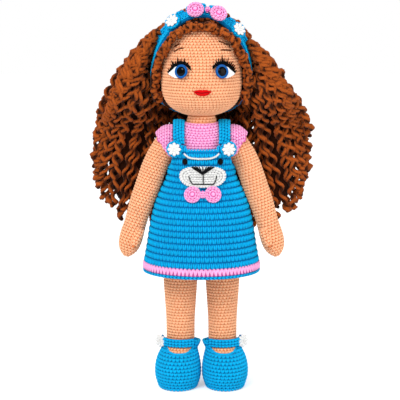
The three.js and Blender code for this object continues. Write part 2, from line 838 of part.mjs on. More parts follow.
function sleeveShell() {
  const along = new THREE.Vector2(sleeve_hem_low_out - sleeve_hem_out,
    sleeve_hem_low_height - sleeve_hem_height).normalize();
  const far = cut_overrun * 2;
  const start = [sleeve_hem_out - along.x * far, sleeve_hem_height - along.y * far];
  const end = [sleeve_hem_out + along.x * far, sleeve_hem_height + along.y * far];
  const side = [-along.y * far * 2, along.x * far * 2];
  const beyond = runThroughY([start, end, [end[0] + side[0], end[1] + side[1]],
    [start[0] + side[0], start[1] + side[1]]], -far, far);
  const below = boxBetween([0, -far, 0], [far, far, sleeve_under_height]);
  const all = armForm(sleeve_thickness + arm_clearance)
    .intersect(beside(sleeve_seam + gap / 2))
    .subtract(armForm(arm_clearance))
    .subtract(beyond)
    .subtract(below);
  return all.decompose().sort((a, b) => b.volume() - a.volume())[0];
}
const sleeve = sleeveShell();

[['left', (m) => m], ['right', mirrored]].forEach(([side, turn]) => {
  add(`${side}_arm`, geometryOf(turn(arm)), skin);
  add(`${side}_thumb`, geometryOf(turn(thumb)), skin);
  add(`${side}_sleeve`, geometryOf(turn(sleeve)), pink);
});

// Dress. Its outside follows rounds of crochet, each a swelling between two grooves.
const dress_level_shares = [
  [0, 1, 1],
  [0.11, 0.94, 0.94],
  [0.25, 0.83, 0.84],
  [0.41, 0.735, 0.75],
  [0.58, 0.605, 0.64],
  [0.7, 0.47, 0.5],
  [0.8, 0.3, 0.34],
  [0.9, 0.1, 0.13],
  [1, 0, 0],
];
const bib_level_shares = [
  [0.5, 0.6, 0.965],
  [1, 1, 0.9],
];
const dress_levels = smoothLevels([
  ...dress_level_shares.map(([up, wide, deep]) => ({
    z: hem_height + (dress_side_height - hem_height) * up,
    w: dress_side_half_width + (hem_half_width - dress_side_half_width) * wide,
    d: dress_side_half_depth + (hem_half_depth - dress_side_half_depth) * deep,
  })),
  ...bib_level_shares.map(([up, wide, deep]) => ({
    z: dress_side_height + (bib_corner_height + gap - dress_side_height) * up,
    w: dress_side_half_width + (bib_flatness - dress_side_half_width) * wide,
    d: dress_side_half_depth * deep,
  })),
], dress_rings);
const dress_front = frontOf(dress_levels);

function dressOutside() {
  const levels = [];
  const rounds = Math.round((dress_side_height - hem_height) / dress_round);
  const step = (dress_side_height - hem_height) / rounds;
  for (let i = 0; i < rounds; i += 1) {
    const base = hem_height + i * step;
    [[0, dress_groove], [0.5, 0]].forEach(([share, depth]) => {
      const z = base + share * step;
      const s = sizeAt(dress_levels, z);
      levels.push({ z, x: 0, y: 0, w: s.w - depth, d: s.d - depth });
    });
  }
  [dress_side_height, (dress_side_height + bib_corner_height) / 2, bib_corner_height + gap]
    .forEach((z) => levels.push({ z, x: 0, y: 0, ...sizeAt(dress_levels, z) }));
  return stack(levels, dress_sides);
}

function dressShell() {
  const bottom = hem_height - short_overrun;
  const few = dress_levels.filter((l, i, all) => i % 2 === 0 || i === all.length - 1);
  const inside_levels = grown(few, -dress_thickness - dress_groove)
    .map((l, i, all) => (i === 0 ? { ...l, z: bottom } : i === all.length - 1
      ? { ...l, z: l.z + short_overrun } : l));
  const far = cut_overrun * 2;
  const front_edge = [
    [-dress_side_half_width - dress_thickness, dress_side_height],
    [-bib_half_width - dress_thickness, dress_side_height + bib_foot_rise],
    [-bib_half_width - gap, (dress_side_height + bib_corner_height) / 2],
    [-bib_half_width, bib_corner_height],
    [-bib_half_width + dress_strap_width, bib_corner_height],
    [-bib_top_half_width, bib_top_height],
  ];
  const other_half = front_edge.map(([x, z]) => [-x, z]).reverse();
  const above_front = runThroughY([
    [-far, dress_side_height], ...front_edge, ...other_half, [far, dress_side_height],
    [far, bib_corner_height + far], [-far, bib_corner_height + far],
  ], -far, 0);
  const above_back = boxBetween([-far, 0, dress_side_height], [far, far, bib_corner_height + far]);
  return dressOutside().subtract(stack(inside_levels, dress_sides))
    .subtract(above_front).subtract(above_back);
}
const dress_whole = dressShell();
const layer = (low, high) => boxBetween([-cut_overrun * 2, -cut_overrun * 2, low],
  [cut_overrun * 2, cut_overrun * 2, high]);
const pink_low = hem_height + last_round_height;
const pink_high = pink_low + pink_round_height;
add('dress', geometryOf(dress_whole.intersect(layer(pink_high + gap / 2, head_bottom))), blue);
add('hem_pink_round',
  geometryOf(dress_whole.intersect(layer(pink_low + gap / 2, pink_high - gap / 2))), pink);
add('hem_last_round', geometryOf(dress_whole.intersect(layer(0, pink_low - gap / 2))), blue);

// Dress straps, from the bib's corner over the shoulder to the back edge. A
// route's entry is [point, tilt]: the tilt turns the strap's width to lie on
// the chest or the back.
function ribbon(route, width, thickness, steps) {
  const edge = thickness / 3;
  const half = width / 2;
  const section = [[-half, 0], [half, 0], [half, thickness - edge], [half - edge, thickness],
    [-half + edge, thickness], [-half, thickness - edge]];
  const curve = new THREE.CatmullRomCurve3(route.map(([p]) => p), false, 'centripetal');
  const rings = [];
  for (let i = 0; i <= steps; i += 1) {
    const t = i / steps;
    const place = t * (route.length - 1);
    const low = Math.min(Math.floor(place), route.length - 2);
    const tilt = THREE.MathUtils.lerp(route[low][1], route[low + 1][1], place - low);
    const a = THREE.MathUtils.degToRad(tilt);
    const across = new THREE.Vector3(Math.cos(a), Math.sin(a), 0);
    const outward = new THREE.Vector3().crossVectors(across, curve.getTangent(t)).normalize();
    rings.push(section.map(([x, r]) => curve.getPoint(t).addScaledVector(across, x)
      .addScaledVector(outward, r)));
  }
  return skinOver(rings, rings[0][0].clone().lerp(rings[0][3], 0.5),
    rings[steps][0].clone().lerp(rings[steps][3], 0.5));
}

const strap_back_shares = [0.3, 0.65, 1]; // of the way down the back
function dressStrap() {
  const over = yoke_radius + dress_strap_rise;
  const front_x = bib_half_width - dress_strap_width / 2 + gap;
  const corner = dress_front(front_x, bib_corner_height).point;
  const low = sizeAt(dress_levels, dress_side_height);
  const back_y = low.d * Math.sqrt(1 - (dress_strap_back_out / low.w) ** 2) - dress_thickness;
  const route = [[new THREE.Vector3(front_x, corner.y + dress_thickness + gap,
    bib_corner_height + gap * 2), dress_strap_front_tilt]];
  dress_strap_angles.forEach((angle) => {
    const a = THREE.MathUtils.degToRad(angle);
    const most = angle > 0 ? dress_strap_front_tilt : dress_strap_back_tilt;
    const tilt = (most * angle) / 90;
    route.push([new THREE.Vector3(dress_strap_out, -over * Math.sin(a),
      shoulder_height + over * Math.cos(a)), tilt]);
  });
  strap_back_shares.forEach((share) => {
    route.push([new THREE.Vector3(
      THREE.MathUtils.lerp(dress_strap_out, dress_strap_back_out, share),
      THREE.MathUtils.lerp(over, back_y, share) + top_thickness * (1 - share) * share * 2,
      THREE.MathUtils.lerp(shoulder_height, dress_side_height + gap * 2, share)),
    -dress_strap_back_tilt]);
  });
  return ribbon(route, dress_strap_width, dress_strap_thickness, dress_strap_steps);
}
const dress_strap = dressStrap();
const ear_seat = dress_front(ear_out - ear_radius, ear_height).point;
const tilt_out = THREE.MathUtils.degToRad(ear_tilt);
const forward = new THREE.Vector3(Math.sin(tilt_out), -Math.cos(tilt_out), 0);
const ear_at = new THREE.Vector3(ear_out,
  ear_seat.y - gap * 2 + ear_radius * Math.sin(tilt_out), ear_height);
const ear = placed(disc(ear_radius, ear_thickness), ear_at, forward);
const ear_bloom = placed(flower(flower_radius, flower_thickness),
  ear_at.clone().addScaledVector(forward, ear_thickness + gap), forward);
[['left', (m) => m], ['right', mirrored]].forEach(([side, turn]) => {
  add(`${side}_dress_strap`, geometryOf(turn(dress_strap)), blue);
  add(`${side}_bear_ear`, geometryOf(turn(ear)), blue);
  add(`${side}_ear_flower`, geometryOf(turn(ear_bloom)), white);
});

// Bear's face, laid on the bib
const bow_at = (side) => dress_front(bear_shift + (side * dress_bow_spacing) / 2,
  dress_bow_height);
function bowLobe(side, grow) {
  const { point, normal } = bow_at(side);
  const made = grow ? disc(dress_bow_lobe_radius + grow, dress_bow_thickness + grow * 2)
    : rosette(dress_bow_lobe_radius, dress_bow_thickness);
  return placed(made, point.addScaledVector(normal, gap - grow), normal);
}
function knotForm(half_width, half_height, half_depth) {
  const ball = new THREE.SphereGeometry(1, small_sides, small_sides - 2);
  return solid(ball.scale(half_width, half_height, half_depth));
}
function dressKnot(grow) {
  const { point, normal } = bow_at(0);
  const half_depth = dress_bow_thickness / 2;
  return placed(knotForm(bow_knot_half_width + grow, bow_knot_half_height + grow,
    half_depth + grow), point.addScaledVector(normal, gap + half_depth), normal);
}
add('dress_bow_left', geometryOf(bowLobe(1, 0).subtract(dressKnot(gap))), pink);
add('dress_bow_right', geometryOf(bowLobe(-1, 0).subtract(dressKnot(gap))), pink);
add('dress_bow_knot', geometryOf(dressKnot(0)), pink);

const muzzle_square_share = 0.8;
const muzzle_edge_share = 0.5;
const muzzle_ring_shares = [1, 0.75, 0.4];
const muzzle = laid(oval(bear_shift, muzzle_height, muzzle_half_width, muzzle_half_height,
  dress_sides, muzzle_square_share), [bear_shift, muzzle_height], dress_front, gap * 2,
muzzle_thickness, muzzle_edge_share, muzzle_ring_shares)
  .subtract(bowLobe(1, gap)).subtract(bowLobe(-1, gap)).subtract(dressKnot(gap));
add('muzzle', geometryOf(muzzle), white);

const nose_outline_shares = [[-1, 0.9], [-0.45, 1], [0, 0.85], [0.45, 1], [1, 0.9], [0.5, -0.2],
  [0, -1], [-0.5, -0.2]];
const nose_peak_share = 0.3;
const nose = laid(nose_outline_shares.map(([x, z]) => [bear_shift + x * nose_half_width,
  nose_height + z * nose_half_height]),
[bear_shift, nose_height + nose_half_height * nose_peak_share],
dress_front, gap * 3 + muzzle_thickness, nose_thickness);
add('bear_nose', geometryOf(nose), black);

[['left', 1], ['right', -1]].forEach(([side, sign]) => {
  const x = bear_shift + sign * bear_eye_out;
  const eye = laid(oval(x, bear_eye_height, bear_eye_half_width, bear_eye_half_height,
    button_sides),
    [x, bear_eye_height], dress_front, gap, bear_eye_thickness);
  add(`${side}_bear_eye`, geometryOf(eye), black);
});

// White cord from ear to ear, with a flat start and end
function bibCord() {
  const end_out = ear_out - ear_radius - cord_radius;
  const route_shares = [[-1, 1], [-0.9, 0.55], [-0.6, 0.12], [0, 0], [0.6, 0.12], [0.9, 0.55],
    [1, 1]];
  const low = bib_top_height - cord_drop;
  const rise = ear_height - cord_end_drop - low;
  const route = route_shares.map(([out, up]) => {
    const { point, normal } = dress_front(end_out * out, low + rise * up);
    return point.addScaledVector(normal, gap + cord_radius);
  });
  const section = new THREE.Shape(oval(0, 0, cord_radius, cord_radius, small_sides)
    .map(([x, y]) => new THREE.Vector2(x, y)));
  return new THREE.ExtrudeGeometry(section, {
    steps: cord_steps, bevelEnabled: false, extrudePath: new THREE.CatmullRomCurve3(route),
  });
}
add('bib_cord', geometryOf(solid(bibCord())), white);

// Outward direction at a point of the head, with its slope taken over a reach
function headNormal(p) {
  const reach = slope_reach;
  const here = sizeAt(head_levels, p.z);
  const high = sizeAt(head_levels, p.z + reach);
  const low = sizeAt(head_levels, p.z - reach);
  const slope_w = (high.w - low.w) / (reach * 2);
  const slope_d = (high.d - low.d) / (reach * 2);
  return new THREE.Vector3(p.x / here.w ** 2, p.y / here.d ** 2,
    -((p.x ** 2) * slope_w) / here.w ** 3 - ((p.y ** 2) * slope_d) / here.d ** 3).normalize();
}

// Eye fittings: a disc on a post, a pupil, and the washer that locks the post
const iris_rim_shares = [[0.95, 0], [1, 0.4], [0.9, 1]];
const pupil_dome_shares = [[0.85, 0.75], [0.45, 0.97], [0, 1]];
function eyeFittings(sign) {
  const { point, normal } = head_front(sign * eye_out, eye_height);
  const seat = gap + felt_thickness + gap;
  const recess = pupil_dome / 3;
  const face = eye_dome - recess;
  const place = (made, lift) => placed(made, point.clone().addScaledVector(normal, lift), normal);
  const iris = turned([[0, -eye_post_length], [eye_post_radius, -eye_post_length],
    [eye_post_radius, 0], ...iris_rim_shares.map(([r, z]) => [eye_radius * r, eye_dome * z]),
    [pupil_radius + gap, eye_dome], [pupil_radius + gap, face], [0, face]], button_sides);
  const pupil = turned([[0, gap], [pupil_radius, gap], [pupil_radius, recess + gap],
    ...pupil_dome_shares.map(([r, z]) => [pupil_radius * r, pupil_dome * z])], button_sides);
  const ring_inner = eye_post_radius + gap;
  const washer = turned([[ring_inner, 0], [washer_radius, 0], [washer_radius, washer_thickness],
    [ring_inner, washer_thickness], [ring_inner, 0]], button_sides);
  const bore = turned([[0, -eye_post_length - gap * 2], [ring_inner, -eye_post_length - gap * 2],
    [ring_inner, eye_post_length], [0, eye_post_length]], button_sides);
  const pocket = turned([[0, -gap], [washer_radius + gap, -gap],
    [washer_radius + gap, washer_thickness + gap], [0, washer_thickness + gap]], button_sides);
  return {
    iris: place(iris, seat),
    pupil: place(pupil, seat + face),
    washer: place(washer, -washer_depth - washer_thickness),
    hollow: place(bore, seat).add(place(pocket, -washer_depth - washer_thickness)),
  };
}

// Corner felt and lashes, as shares of the eye's radius: [outward, upward]
const felt_outline_shares = [[1.98, -0.4], [1.45, 0.08], [0.98, 0.56], [0.55, 0.78], [0.42, 0],
  [0.5, -0.8], [0.78, -0.98], [1.35, -0.76]];
const felt_middle_shares = [1, -0.1];
const felt_edge_share = 0.9;
const lash_station_shares = [
  [[2.02, -0.2], [2.3, 0]],
  [[1.86, 0], [2.36, 0.5]],
  [[1.74, 0.12], [1.86, 0.46]],
  [[1.6, 0.24], [1.72, 1.62]],
  [[1.42, 0.4], [1.3, 0.98]],
  [[1.14, 0.7], [0.8, 2.28]],
  [[0.86, 0.94], [0.52, 1.62]],
  [[0.4, 1.12], [-0.16, 2.12]],
  [[0, 1.14], [-0.24, 1.56]],
  [[-0.4, 1.1], [-0.8, 1.78]],
  [[-0.7, 0.92], [-0.92, 1.16]],
  [[-0.98, 0.6], [-1.42, 0.5]],
  [[-1.12, 0.3], [-1.22, 0.26]],
];
function laidStrip(stations, front, lift, height) {
  const rings = stations.map(([low, high]) => {
    const a = front(...low);
    const b = front(...high);
    return [a.point.clone().addScaledVector(a.normal, lift),
      b.point.clone().addScaledVector(b.normal, lift),
      b.point.clone().addScaledVector(b.normal, lift + height),
      a.point.clone().addScaledVector(a.normal, lift + height)];
  });
  const middleOf = (ring) => ring.reduce((sum, p) => sum.add(p), new THREE.Vector3())
    .divideScalar(ring.length);
  return skinOver(rings, middleOf(rings[0]), middleOf(rings[rings.length - 1]));
}

let head = headForm(0).subtract(neck.bore);
[['left', 1], ['right', -1]].forEach(([side, sign]) => {
  const fittings = eyeFittings(sign);
  const at = ([out, up]) => [sign * (eye_out + out * eye_radius), eye_height + up * eye_radius];
  head = head.subtract(fittings.hollow);
  add(`${side}_eye_iris`, geometryOf(fittings.iris), iris_blue, 0.15);
  add(`${side}_eye_pupil`, geometryOf(fittings.pupil), black, 0.08);
  add(`${side}_eye_washer`, geometryOf(fittings.washer), white, 0.5);
  const felt = laid(felt_outline_shares.map(at), at(felt_middle_shares), head_front, gap,
    felt_thickness, felt_edge_share, [1]);
  add(`${side}_eye_felt`, geometryOf(felt), white);
  const lashes = laidStrip(lash_station_shares.map((pair) => pair.map(at)), head_front,
    gap * 1.5, felt_thickness);
  add(`${side}_lashes`, geometryOf(lashes), black);
});
add('head', geometryOf(head), skin);

const lip_outline_shares = [[-1, 0.3], [-0.5, 0.85], [-0.12, 0.95], [0, 0.8], [0.12, 0.95],
  [0.5, 0.85], [1, 0.3], [0.55, -0.7], [0.2, -1], [-0.2, -1], [-0.55, -0.7]];
const lip_edge_share = 0.6;
const lips = laid(lip_outline_shares.map(([x, z]) => [lip_side_shift + x * lip_half_width,
  lip_height + z * lip_half_height]), [lip_side_shift, lip_height], head_front, gap,
lip_thickness, lip_edge_share);
add('lips', geometryOf(lips), red);

// Wig cap, cut along a slanting plane just behind the fringe
function capForm(inner, outer, grow) {
  const far = cut_overrun * 2;
  const rise = fringe_top_height - fringe_low_height;
  const run = fringe_top_reach - fringe_low_reach;
  const behind = (fringe_radius + gap * 2 - grow) * (Math.hypot(run, rise) / rise);
  const low = [behind - fringe_low_reach + (run / rise) * far, fringe_low_height - far];
  const high = [behind - fringe_top_reach - (run / rise) * far, fringe_top_height + far];
  const ahead = runThroughX([low, high, [-far * 2, high[1]], [-far * 2, low[1]]], -far, far);
  const under = boxBetween([-far, -far, 0], [far, far, cap_bottom - grow]);
  const shell = headForm(outer).subtract(ahead).subtract(under);
  return inner === null ? shell : shell.subtract(headForm(inner));
}
const cap = capForm(gap, gap + cap_thickness, 0);
add('hair_cap', geometryOf(cap), brown);

// A route over the head, in a bent plane that slants back: side -1 to 1 runs
// from her right over the crown to her left.
function overHead(top_reach, top_height, low_reach, low_height, fall) {
  const yAt = (z) => {
    const share = Math.max(0, (top_height - z) / (top_height - low_height));
    return -top_reach + (top_reach - low_reach) * share ** fall;
  };
  const inside = (z) => Math.abs(yAt(z)) < sizeAt(head_levels, z).d;
  const halvings = 30;
  const edge = (from, to) => {
    let a = from;
    let b = to;
    for (let i = 0; i < halvings; i += 1) {
      const m = (a + b) / 2;
      if (inside(m)) a = m;
      else b = m;
    }
    return a;
  };
  const middle = (top_height + low_height) / 2;
  const z_top = edge(middle, head_bottom + head_height);
  const z_low = inside(low_height) ? low_height : edge(middle, low_height);
  return (side, lift) => {
    const z = z_low + ((z_top - z_low) * (1 + Math.cos(side * Math.PI))) / 2;
    const y = yAt(z);
    const s = sizeAt(head_levels, z);
    const x = Math.sign(side) * s.w * Math.sqrt(Math.max(0, 1 - (y / s.d) ** 2));
    const p = new THREE.Vector3(x, y, z);
    const normal = headNormal(p);
    return { point: p.addScaledVector(normal, lift), normal };
  };
}

// Fringe: short curls in a row round the face
const fringe_way = overHead(fringe_top_reach, fringe_top_height, fringe_low_reach,
  fringe_low_height, 1);
const fringe_dip_share = 0.7;
const fringe_end_share = 0.86; // of the way from the crown to the jaw
const fringe_lift = fringe_radius + gap * 2;
function fringeForm(grow) {
  const rings = [];
  const per_curl = 2;
  const steps = fringe_curls * per_curl;
  const end = fringe_end_share;
  for (let i = 0; i <= steps; i += 1) {
    const side = (-1 + (2 * i) / steps) * end;
    const here = fringe_way(side, fringe_lift).point;
    const next = fringe_way(Math.min(1, side + end / steps), fringe_lift).point;
    const before = fringe_way(Math.max(-1, side - end / steps), fringe_lift).point;
    const along = next.clone().sub(before).normalize();
    const normal = fringe_way(side, 0).normal;
    const across = new THREE.Vector3().crossVectors(along, normal).normalize();
    const out = new THREE.Vector3().crossVectors(across, along).normalize();
    const swell = i % per_curl === 0 ? fringe_dip_share : 1;
    const r = fringe_radius * swell + grow;
    const ring = [];
    for (let j = 0; j < fringe_sides; j += 1) {
      const a = (j / fringe_sides) * 2 * Math.PI;
      ring.push(here.clone().addScaledVector(across, r * Math.cos(a))
        .addScaledVector(out, r * Math.sin(a)));
    }
    rings.push(ring);
  }
  return skinOver(rings, fringe_way(-end, fringe_lift).point,
    fringe_way(end, fringe_lift).point);
}

// Headband, its bobbles, discs, flowers and bow
const band_way = overHead(band_top_reach, band_top_height, band_low_reach, band_low_height,
  band_fall);
const band_lift = cap_thickness + gap * 4;
const band_nudge_share = 0.004;
function bandFrame(side) {
  const nudge = band_nudge_share;
  const here = band_way(side, band_lift);
  const next = band_way(side + nudge, band_lift).point;
  const before = band_way(side - nudge, band_lift).point;
  const along = next.sub(before).normalize();
  const across = new THREE.Vector3().crossVectors(here.normal, along).normalize();
  const out = new THREE.Vector3().crossVectors(along, across).normalize();
  return { point: here.point, along, across, out };
}
// Share of the half round at which a length along the band is reached
function bandSide(length) {
  const step = band_nudge_share / 2;
  let side = 0;
  let run = 0;
  let last = band_way(0, band_lift).point;
  while (run < Math.abs(length) && side < 1) {
    side += step;
    const next = band_way(side, band_lift).point;
    run += next.distanceTo(last);
    last = next;
  }
  return Math.sign(length) * side;
}

function bandRing(section, steps) {
  const rings = [];
  for (let i = 0; i < steps; i += 1) {
    const f = bandFrame(-1 + (2 * (i + 0.5)) / steps);
    rings.push(section.map(([a, o]) => f.point.clone().addScaledVector(f.across, a)
      .addScaledVector(f.out, o)));
  }
  return skinOver(rings);
}

function bandForm() {
  const half = band_width / 2;
  const edge = band_thickness / 3;
  return bandRing([[-half, 0], [half, 0], [half, band_thickness - edge],
    [half - edge, band_thickness], [-half + edge, band_thickness],
    [-half, band_thickness - edge]], band_steps);
}

// The room that the band and its bobbles take up among the curls
function bandRoom() {
  const front = -band_width / 2 - gap;
  const back = bobble_back + bobble_radius + gap;
  const low = bobble_rise - bobble_radius - gap;
  const high = bobble_rise + bobble_radius + gap;
  return bandRing([[front, -gap], [0, -gap], [back, low], [back, high], [front, high]],
    band_steps);
}

function bobbleRow() {
  const bobbles = [];
  for (let i = 0; i < bobble_count; i += 1) {
    const f = bandFrame(bandSide((i - (bobble_count - 1) / 2) * bobble_spacing));
    const ball = new THREE.SphereGeometry(bobble_radius, small_sides - 2, small_sides / 2);
    const at = f.point.clone().addScaledVector(f.across, bobble_back)
      .addScaledVector(f.out, bobble_rise);
    bobbles.push(solid(ball).translate(at.toArray()));
  }
  return wasm.Manifold.union(bobbles);
}

function onBand(length, made, lift) {
  const f = bandFrame(bandSide(length));
  return placed(made, f.point.clone().addScaledVector(f.out, band_thickness + lift)
    .addScaledVector(f.across, -band_trim_forward), f.out);
}
const bandDisc = (sign, grow, extra = 0) => onBand(band_turn + sign * band_disc_out,
  disc(band_disc_radius + grow, band_disc_thickness + extra + grow * 2), gap * 2 - grow);
function bandLobe(sign, grow) {
  const made = grow ? disc(bow_lobe_radius + grow, bow_lobe_thickness + grow * 2)
    : rosette(bow_lobe_radius, bow_lobe_thickness);
  return onBand(band_turn + (sign * bow_lobe_spacing) / 2, made, gap * 2 - grow);
}
function bandKnot(grow) {
  const half_depth = bow_lobe_thickness / 2;
  return onBand(band_turn, knotForm(bow_knot_half_width + grow, bow_knot_half_height + grow,
    half_depth + grow), gap * 2 + half_depth);
}
const band_pieces_grown = [bandDisc(1, gap, flower_thickness), bandLobe(1, gap),
  bandDisc(-1, gap, flower_thickness), bandLobe(-1, gap), bandKnot(gap)];
const bobbles = band_pieces_grown.reduce((made, piece) => made.subtract(piece), bobbleRow());
const band = bandForm().add(bobbles);
add('headband', geometryOf(band), blue);
[['left', 1], ['right', -1]].forEach(([side, sign]) => {
  add(`band_disc_${side}`, geometryOf(bandDisc(sign, 0)), blue);
  add(`band_flower_${side}`, geometryOf(onBand(band_turn + sign * band_disc_out,
    flower(flower_radius, flower_thickness), band_disc_thickness + gap * 3)), white);
  add(`band_bow_${side}`, geometryOf(bandLobe(sign, 0).subtract(bandKnot(gap))), pink);
});
add('band_bow_knot', geometryOf(bandKnot(0)), pink);

add('hair_fringe', geometryOf(fringeForm(0)), brown);

// Masses of curls. A level is [drop share, inner share, outer share, front
// share, back share], of the hair's height, half width and back reach.
const side_hair_shares = [
  [0.011, 0.17, 0.33, -0.07, 0.316],
  [0.037, 0.21, 0.45, -0.158, 0.421],
  [0.07, 0.26, 0.535, -0.228, 0.491],
  [0.133, 0.35, 0.635, -0.298, 0.579],
  [0.19, 0.4, 0.725, -0.333, 0.632],
  [0.28, 0.42, 0.82, -0.351, 0.684],
  [0.36, 0.42, 0.88, -0.351, 0.719],
  [0.44, 0.385, 0.92, -0.263, 0.772],
  [0.475, 0.355, 0.935, -0.035, 0.789],
  [0.505, 0.34, 0.945, 0.175, 0.807],
  [0.53, 0.335, 0.955, 0.254, 0.825],
  [0.59, 0.33, 0.985, 0.254, 0.842],
  [0.645, 0.335, 1, 0.251, 0.86],
  [0.735, 0.345, 0.98, 0.246, 0.86],
  [0.815, 0.41, 0.95, 0.246, 0.842],
  [0.88, 0.475, 0.87, 0.254, 0.807],
  [0.945, 0.54, 0.76, 0.298, 0.754],
  [0.99, 0.59, 0.68, 0.368, 0.649],
];
const back_hair_shares = [
  [-0.03, 0.04, 0.035, 0.211],
  [-0.015, 0.13, 0.035, 0.386],
  [0.02, 0.17, 0.053, 0.596],
  [0.07, 0.24, 0.211, 0.754],
  [0.133, 0.33, 0.386, 0.877],
  [0.23, 0.39, 0.491, 0.965],
  [0.34, 0.4, 0.509, 0.991],
  [0.43, 0.37, 0.474, 1],
  [0.475, 0.335, 0.43, 1],
  [0.53, 0.32, 0.412, 1],
  [0.61, 0.315, 0.421, 1],
  [0.715, 0.33, 0.491, 1],
  [0.79, 0.37, 0.553, 1],
  [0.86, 0.41, 0.632, 1],
  [0.94, 0.42, 0.696, 0.991],
  [1, 0.36, 0.733, 0.965],
  [1.03, 0.2, 0.754, 0.895],
];
// Section of a mass: a rounded rectangle, grooved between its locks. Down a
// lock, every other ring draws in and swings aside, as a loose corkscrew does.
function lockShape(locks) {
  return (a, level) => {
    const power = 3;
    const square = (Math.abs(Math.cos(a)) ** power + Math.abs(Math.sin(a)) ** power)
      ** (-1 / power);
    const turn = hair_lock_turns * ((hair_top - level.z) / hair_height);
    const swing = level.drawn ? 1 / lock_sides : 0;
    const groove = 0.5 - 0.5 * Math.cos(locks * a + (turn + swing) * 2 * Math.PI);
    const wave = level.drawn ? hair_wave_share : 0;
    return square * (1 - wave) * (1 - hair_lock_share * groove);
  };
}
function hairMass(levels, locks) {
  const smooth = smoothLevels(levels, hair_rings)
    .map((level, i) => ({ ...level, drawn: i % 2 === 1 }));
  return stack(smooth, locks * lock_sides, lockShape(locks));
}
const hair_cut = capForm(null, gap * 2 + cap_thickness, 0).add(headForm(gap * 2))
  .add(bandRoom()).add(fringeForm(gap)).add(wasm.Manifold.union(band_pieces_grown));
const sideLevel = ([down, near, far, front, back]) => ({
  z: hair_top - hair_height * down,
  x: (hair_half_width * (near + far)) / 2,
  y: (hair_back * (front + back)) / 2,
  w: (hair_half_width * (far - near)) / 2,
  d: (hair_back * (back - front)) / 2,
});
const backLevel = ([down, wide, front, back]) => ({
  z: hair_top - hair_height * down,
  x: 0,
  y: (hair_back * (front + back)) / 2,
  w: hair_half_width * wide,
  d: (hair_back * (back - front)) / 2,
});
const side_hair = hairMass(side_hair_shares.map(sideLevel).reverse(), side_hair_locks)
  .subtract(hair_cut);
const back_hair = hairMass(back_hair_shares.map(backLevel).reverse(), back_hair_locks)
  .subtract(hair_cut);
add('hair_left', geometryOf(side_hair), brown);
add('hair_right', geometryOf(mirrored(side_hair)), brown);
add('hair_back', geometryOf(back_hair), brown);

// The origin goes to the middle of the whole doll's depth.
const whole = new THREE.Box3().setFromObject(group);
group.position.y = -(whole.min.y + whole.max.y) / 2;

export default group;
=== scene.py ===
# %% [markdown]
# # A crocheted doll, dressed over its frame
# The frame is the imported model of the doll: every piece is there at its true place
# and size, but plain and smooth. This script gives each piece its real form. Cloth
# becomes rounds of crochet stitches, hair becomes corkscrew curls of chenille yarn,
# and the eyes become glossy plastic.

# %% Load the frame
import math

import bpy
import numpy as np
from mathutils import Matrix, Quaternion, Vector
from mathutils.bvhtree import BVHTree


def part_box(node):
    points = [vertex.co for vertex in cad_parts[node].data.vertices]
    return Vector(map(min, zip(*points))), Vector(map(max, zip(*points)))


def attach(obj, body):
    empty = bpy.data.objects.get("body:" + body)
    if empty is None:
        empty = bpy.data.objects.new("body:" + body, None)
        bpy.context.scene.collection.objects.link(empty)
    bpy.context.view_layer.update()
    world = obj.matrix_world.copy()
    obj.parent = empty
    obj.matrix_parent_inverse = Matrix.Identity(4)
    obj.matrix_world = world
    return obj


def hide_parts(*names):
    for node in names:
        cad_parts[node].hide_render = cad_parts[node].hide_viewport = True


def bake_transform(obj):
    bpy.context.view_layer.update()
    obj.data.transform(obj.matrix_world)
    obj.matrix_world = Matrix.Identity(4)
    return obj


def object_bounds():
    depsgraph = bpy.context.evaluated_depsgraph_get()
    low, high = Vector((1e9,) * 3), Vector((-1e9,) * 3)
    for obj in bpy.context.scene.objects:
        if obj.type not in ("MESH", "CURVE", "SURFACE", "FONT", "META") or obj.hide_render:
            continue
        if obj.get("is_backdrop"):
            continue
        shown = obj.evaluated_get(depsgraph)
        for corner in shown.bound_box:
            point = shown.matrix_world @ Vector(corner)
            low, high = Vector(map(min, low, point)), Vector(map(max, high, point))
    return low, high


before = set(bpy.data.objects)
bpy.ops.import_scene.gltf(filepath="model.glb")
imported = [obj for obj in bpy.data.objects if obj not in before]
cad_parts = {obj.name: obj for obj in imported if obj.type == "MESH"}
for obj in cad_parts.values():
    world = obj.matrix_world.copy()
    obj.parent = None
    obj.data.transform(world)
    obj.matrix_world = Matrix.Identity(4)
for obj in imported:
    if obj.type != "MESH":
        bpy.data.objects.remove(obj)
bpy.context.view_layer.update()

bpy.ops.object.select_all(action="DESELECT")
chance = np.random.default_rng(11)
middle_y = (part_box("neck_rod")[0].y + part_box("neck_rod")[1].y) / 2
both_sides = (("left", 1), ("right", -1))

# %% [markdown]
# The camera comes first. It looks at the doll from the front, a little from above,
# through a long lens, so that the doll fills the square picture as in a catalogue.

# %% Camera
camera_tilt = math.radians(9)
camera_away = 1.3
camera_aim = Vector((-0.00135, middle_y, 0.172))
camera_drop = 0.00287
camera_back = Vector((0, -math.cos(camera_tilt), math.sin(camera_tilt)))
camera_up = Vector((0, math.sin(camera_tilt), math.cos(camera_tilt)))
camera = bpy.data.objects.new("camera", bpy.data.cameras.new("camera"))
bpy.context.collection.objects.link(camera)
camera.data.sensor_width = 36
camera.data.lens = 130
camera.location = camera_aim + camera_back * camera_away - camera_up * camera_drop
camera.rotation_euler = (math.radians(90) - camera_tilt, 0, 0)
bpy.context.scene.camera = camera
bpy.context.scene.view_settings.view_transform = "Standard"
print("camera at", tuple(round(c, 3) for c in camera.location))

# %% [markdown]
# Materials are built from nodes. Adding and linking nodes by hand is slow to read,
# so a small class wraps a socket, and sums are then written as in plain Python.

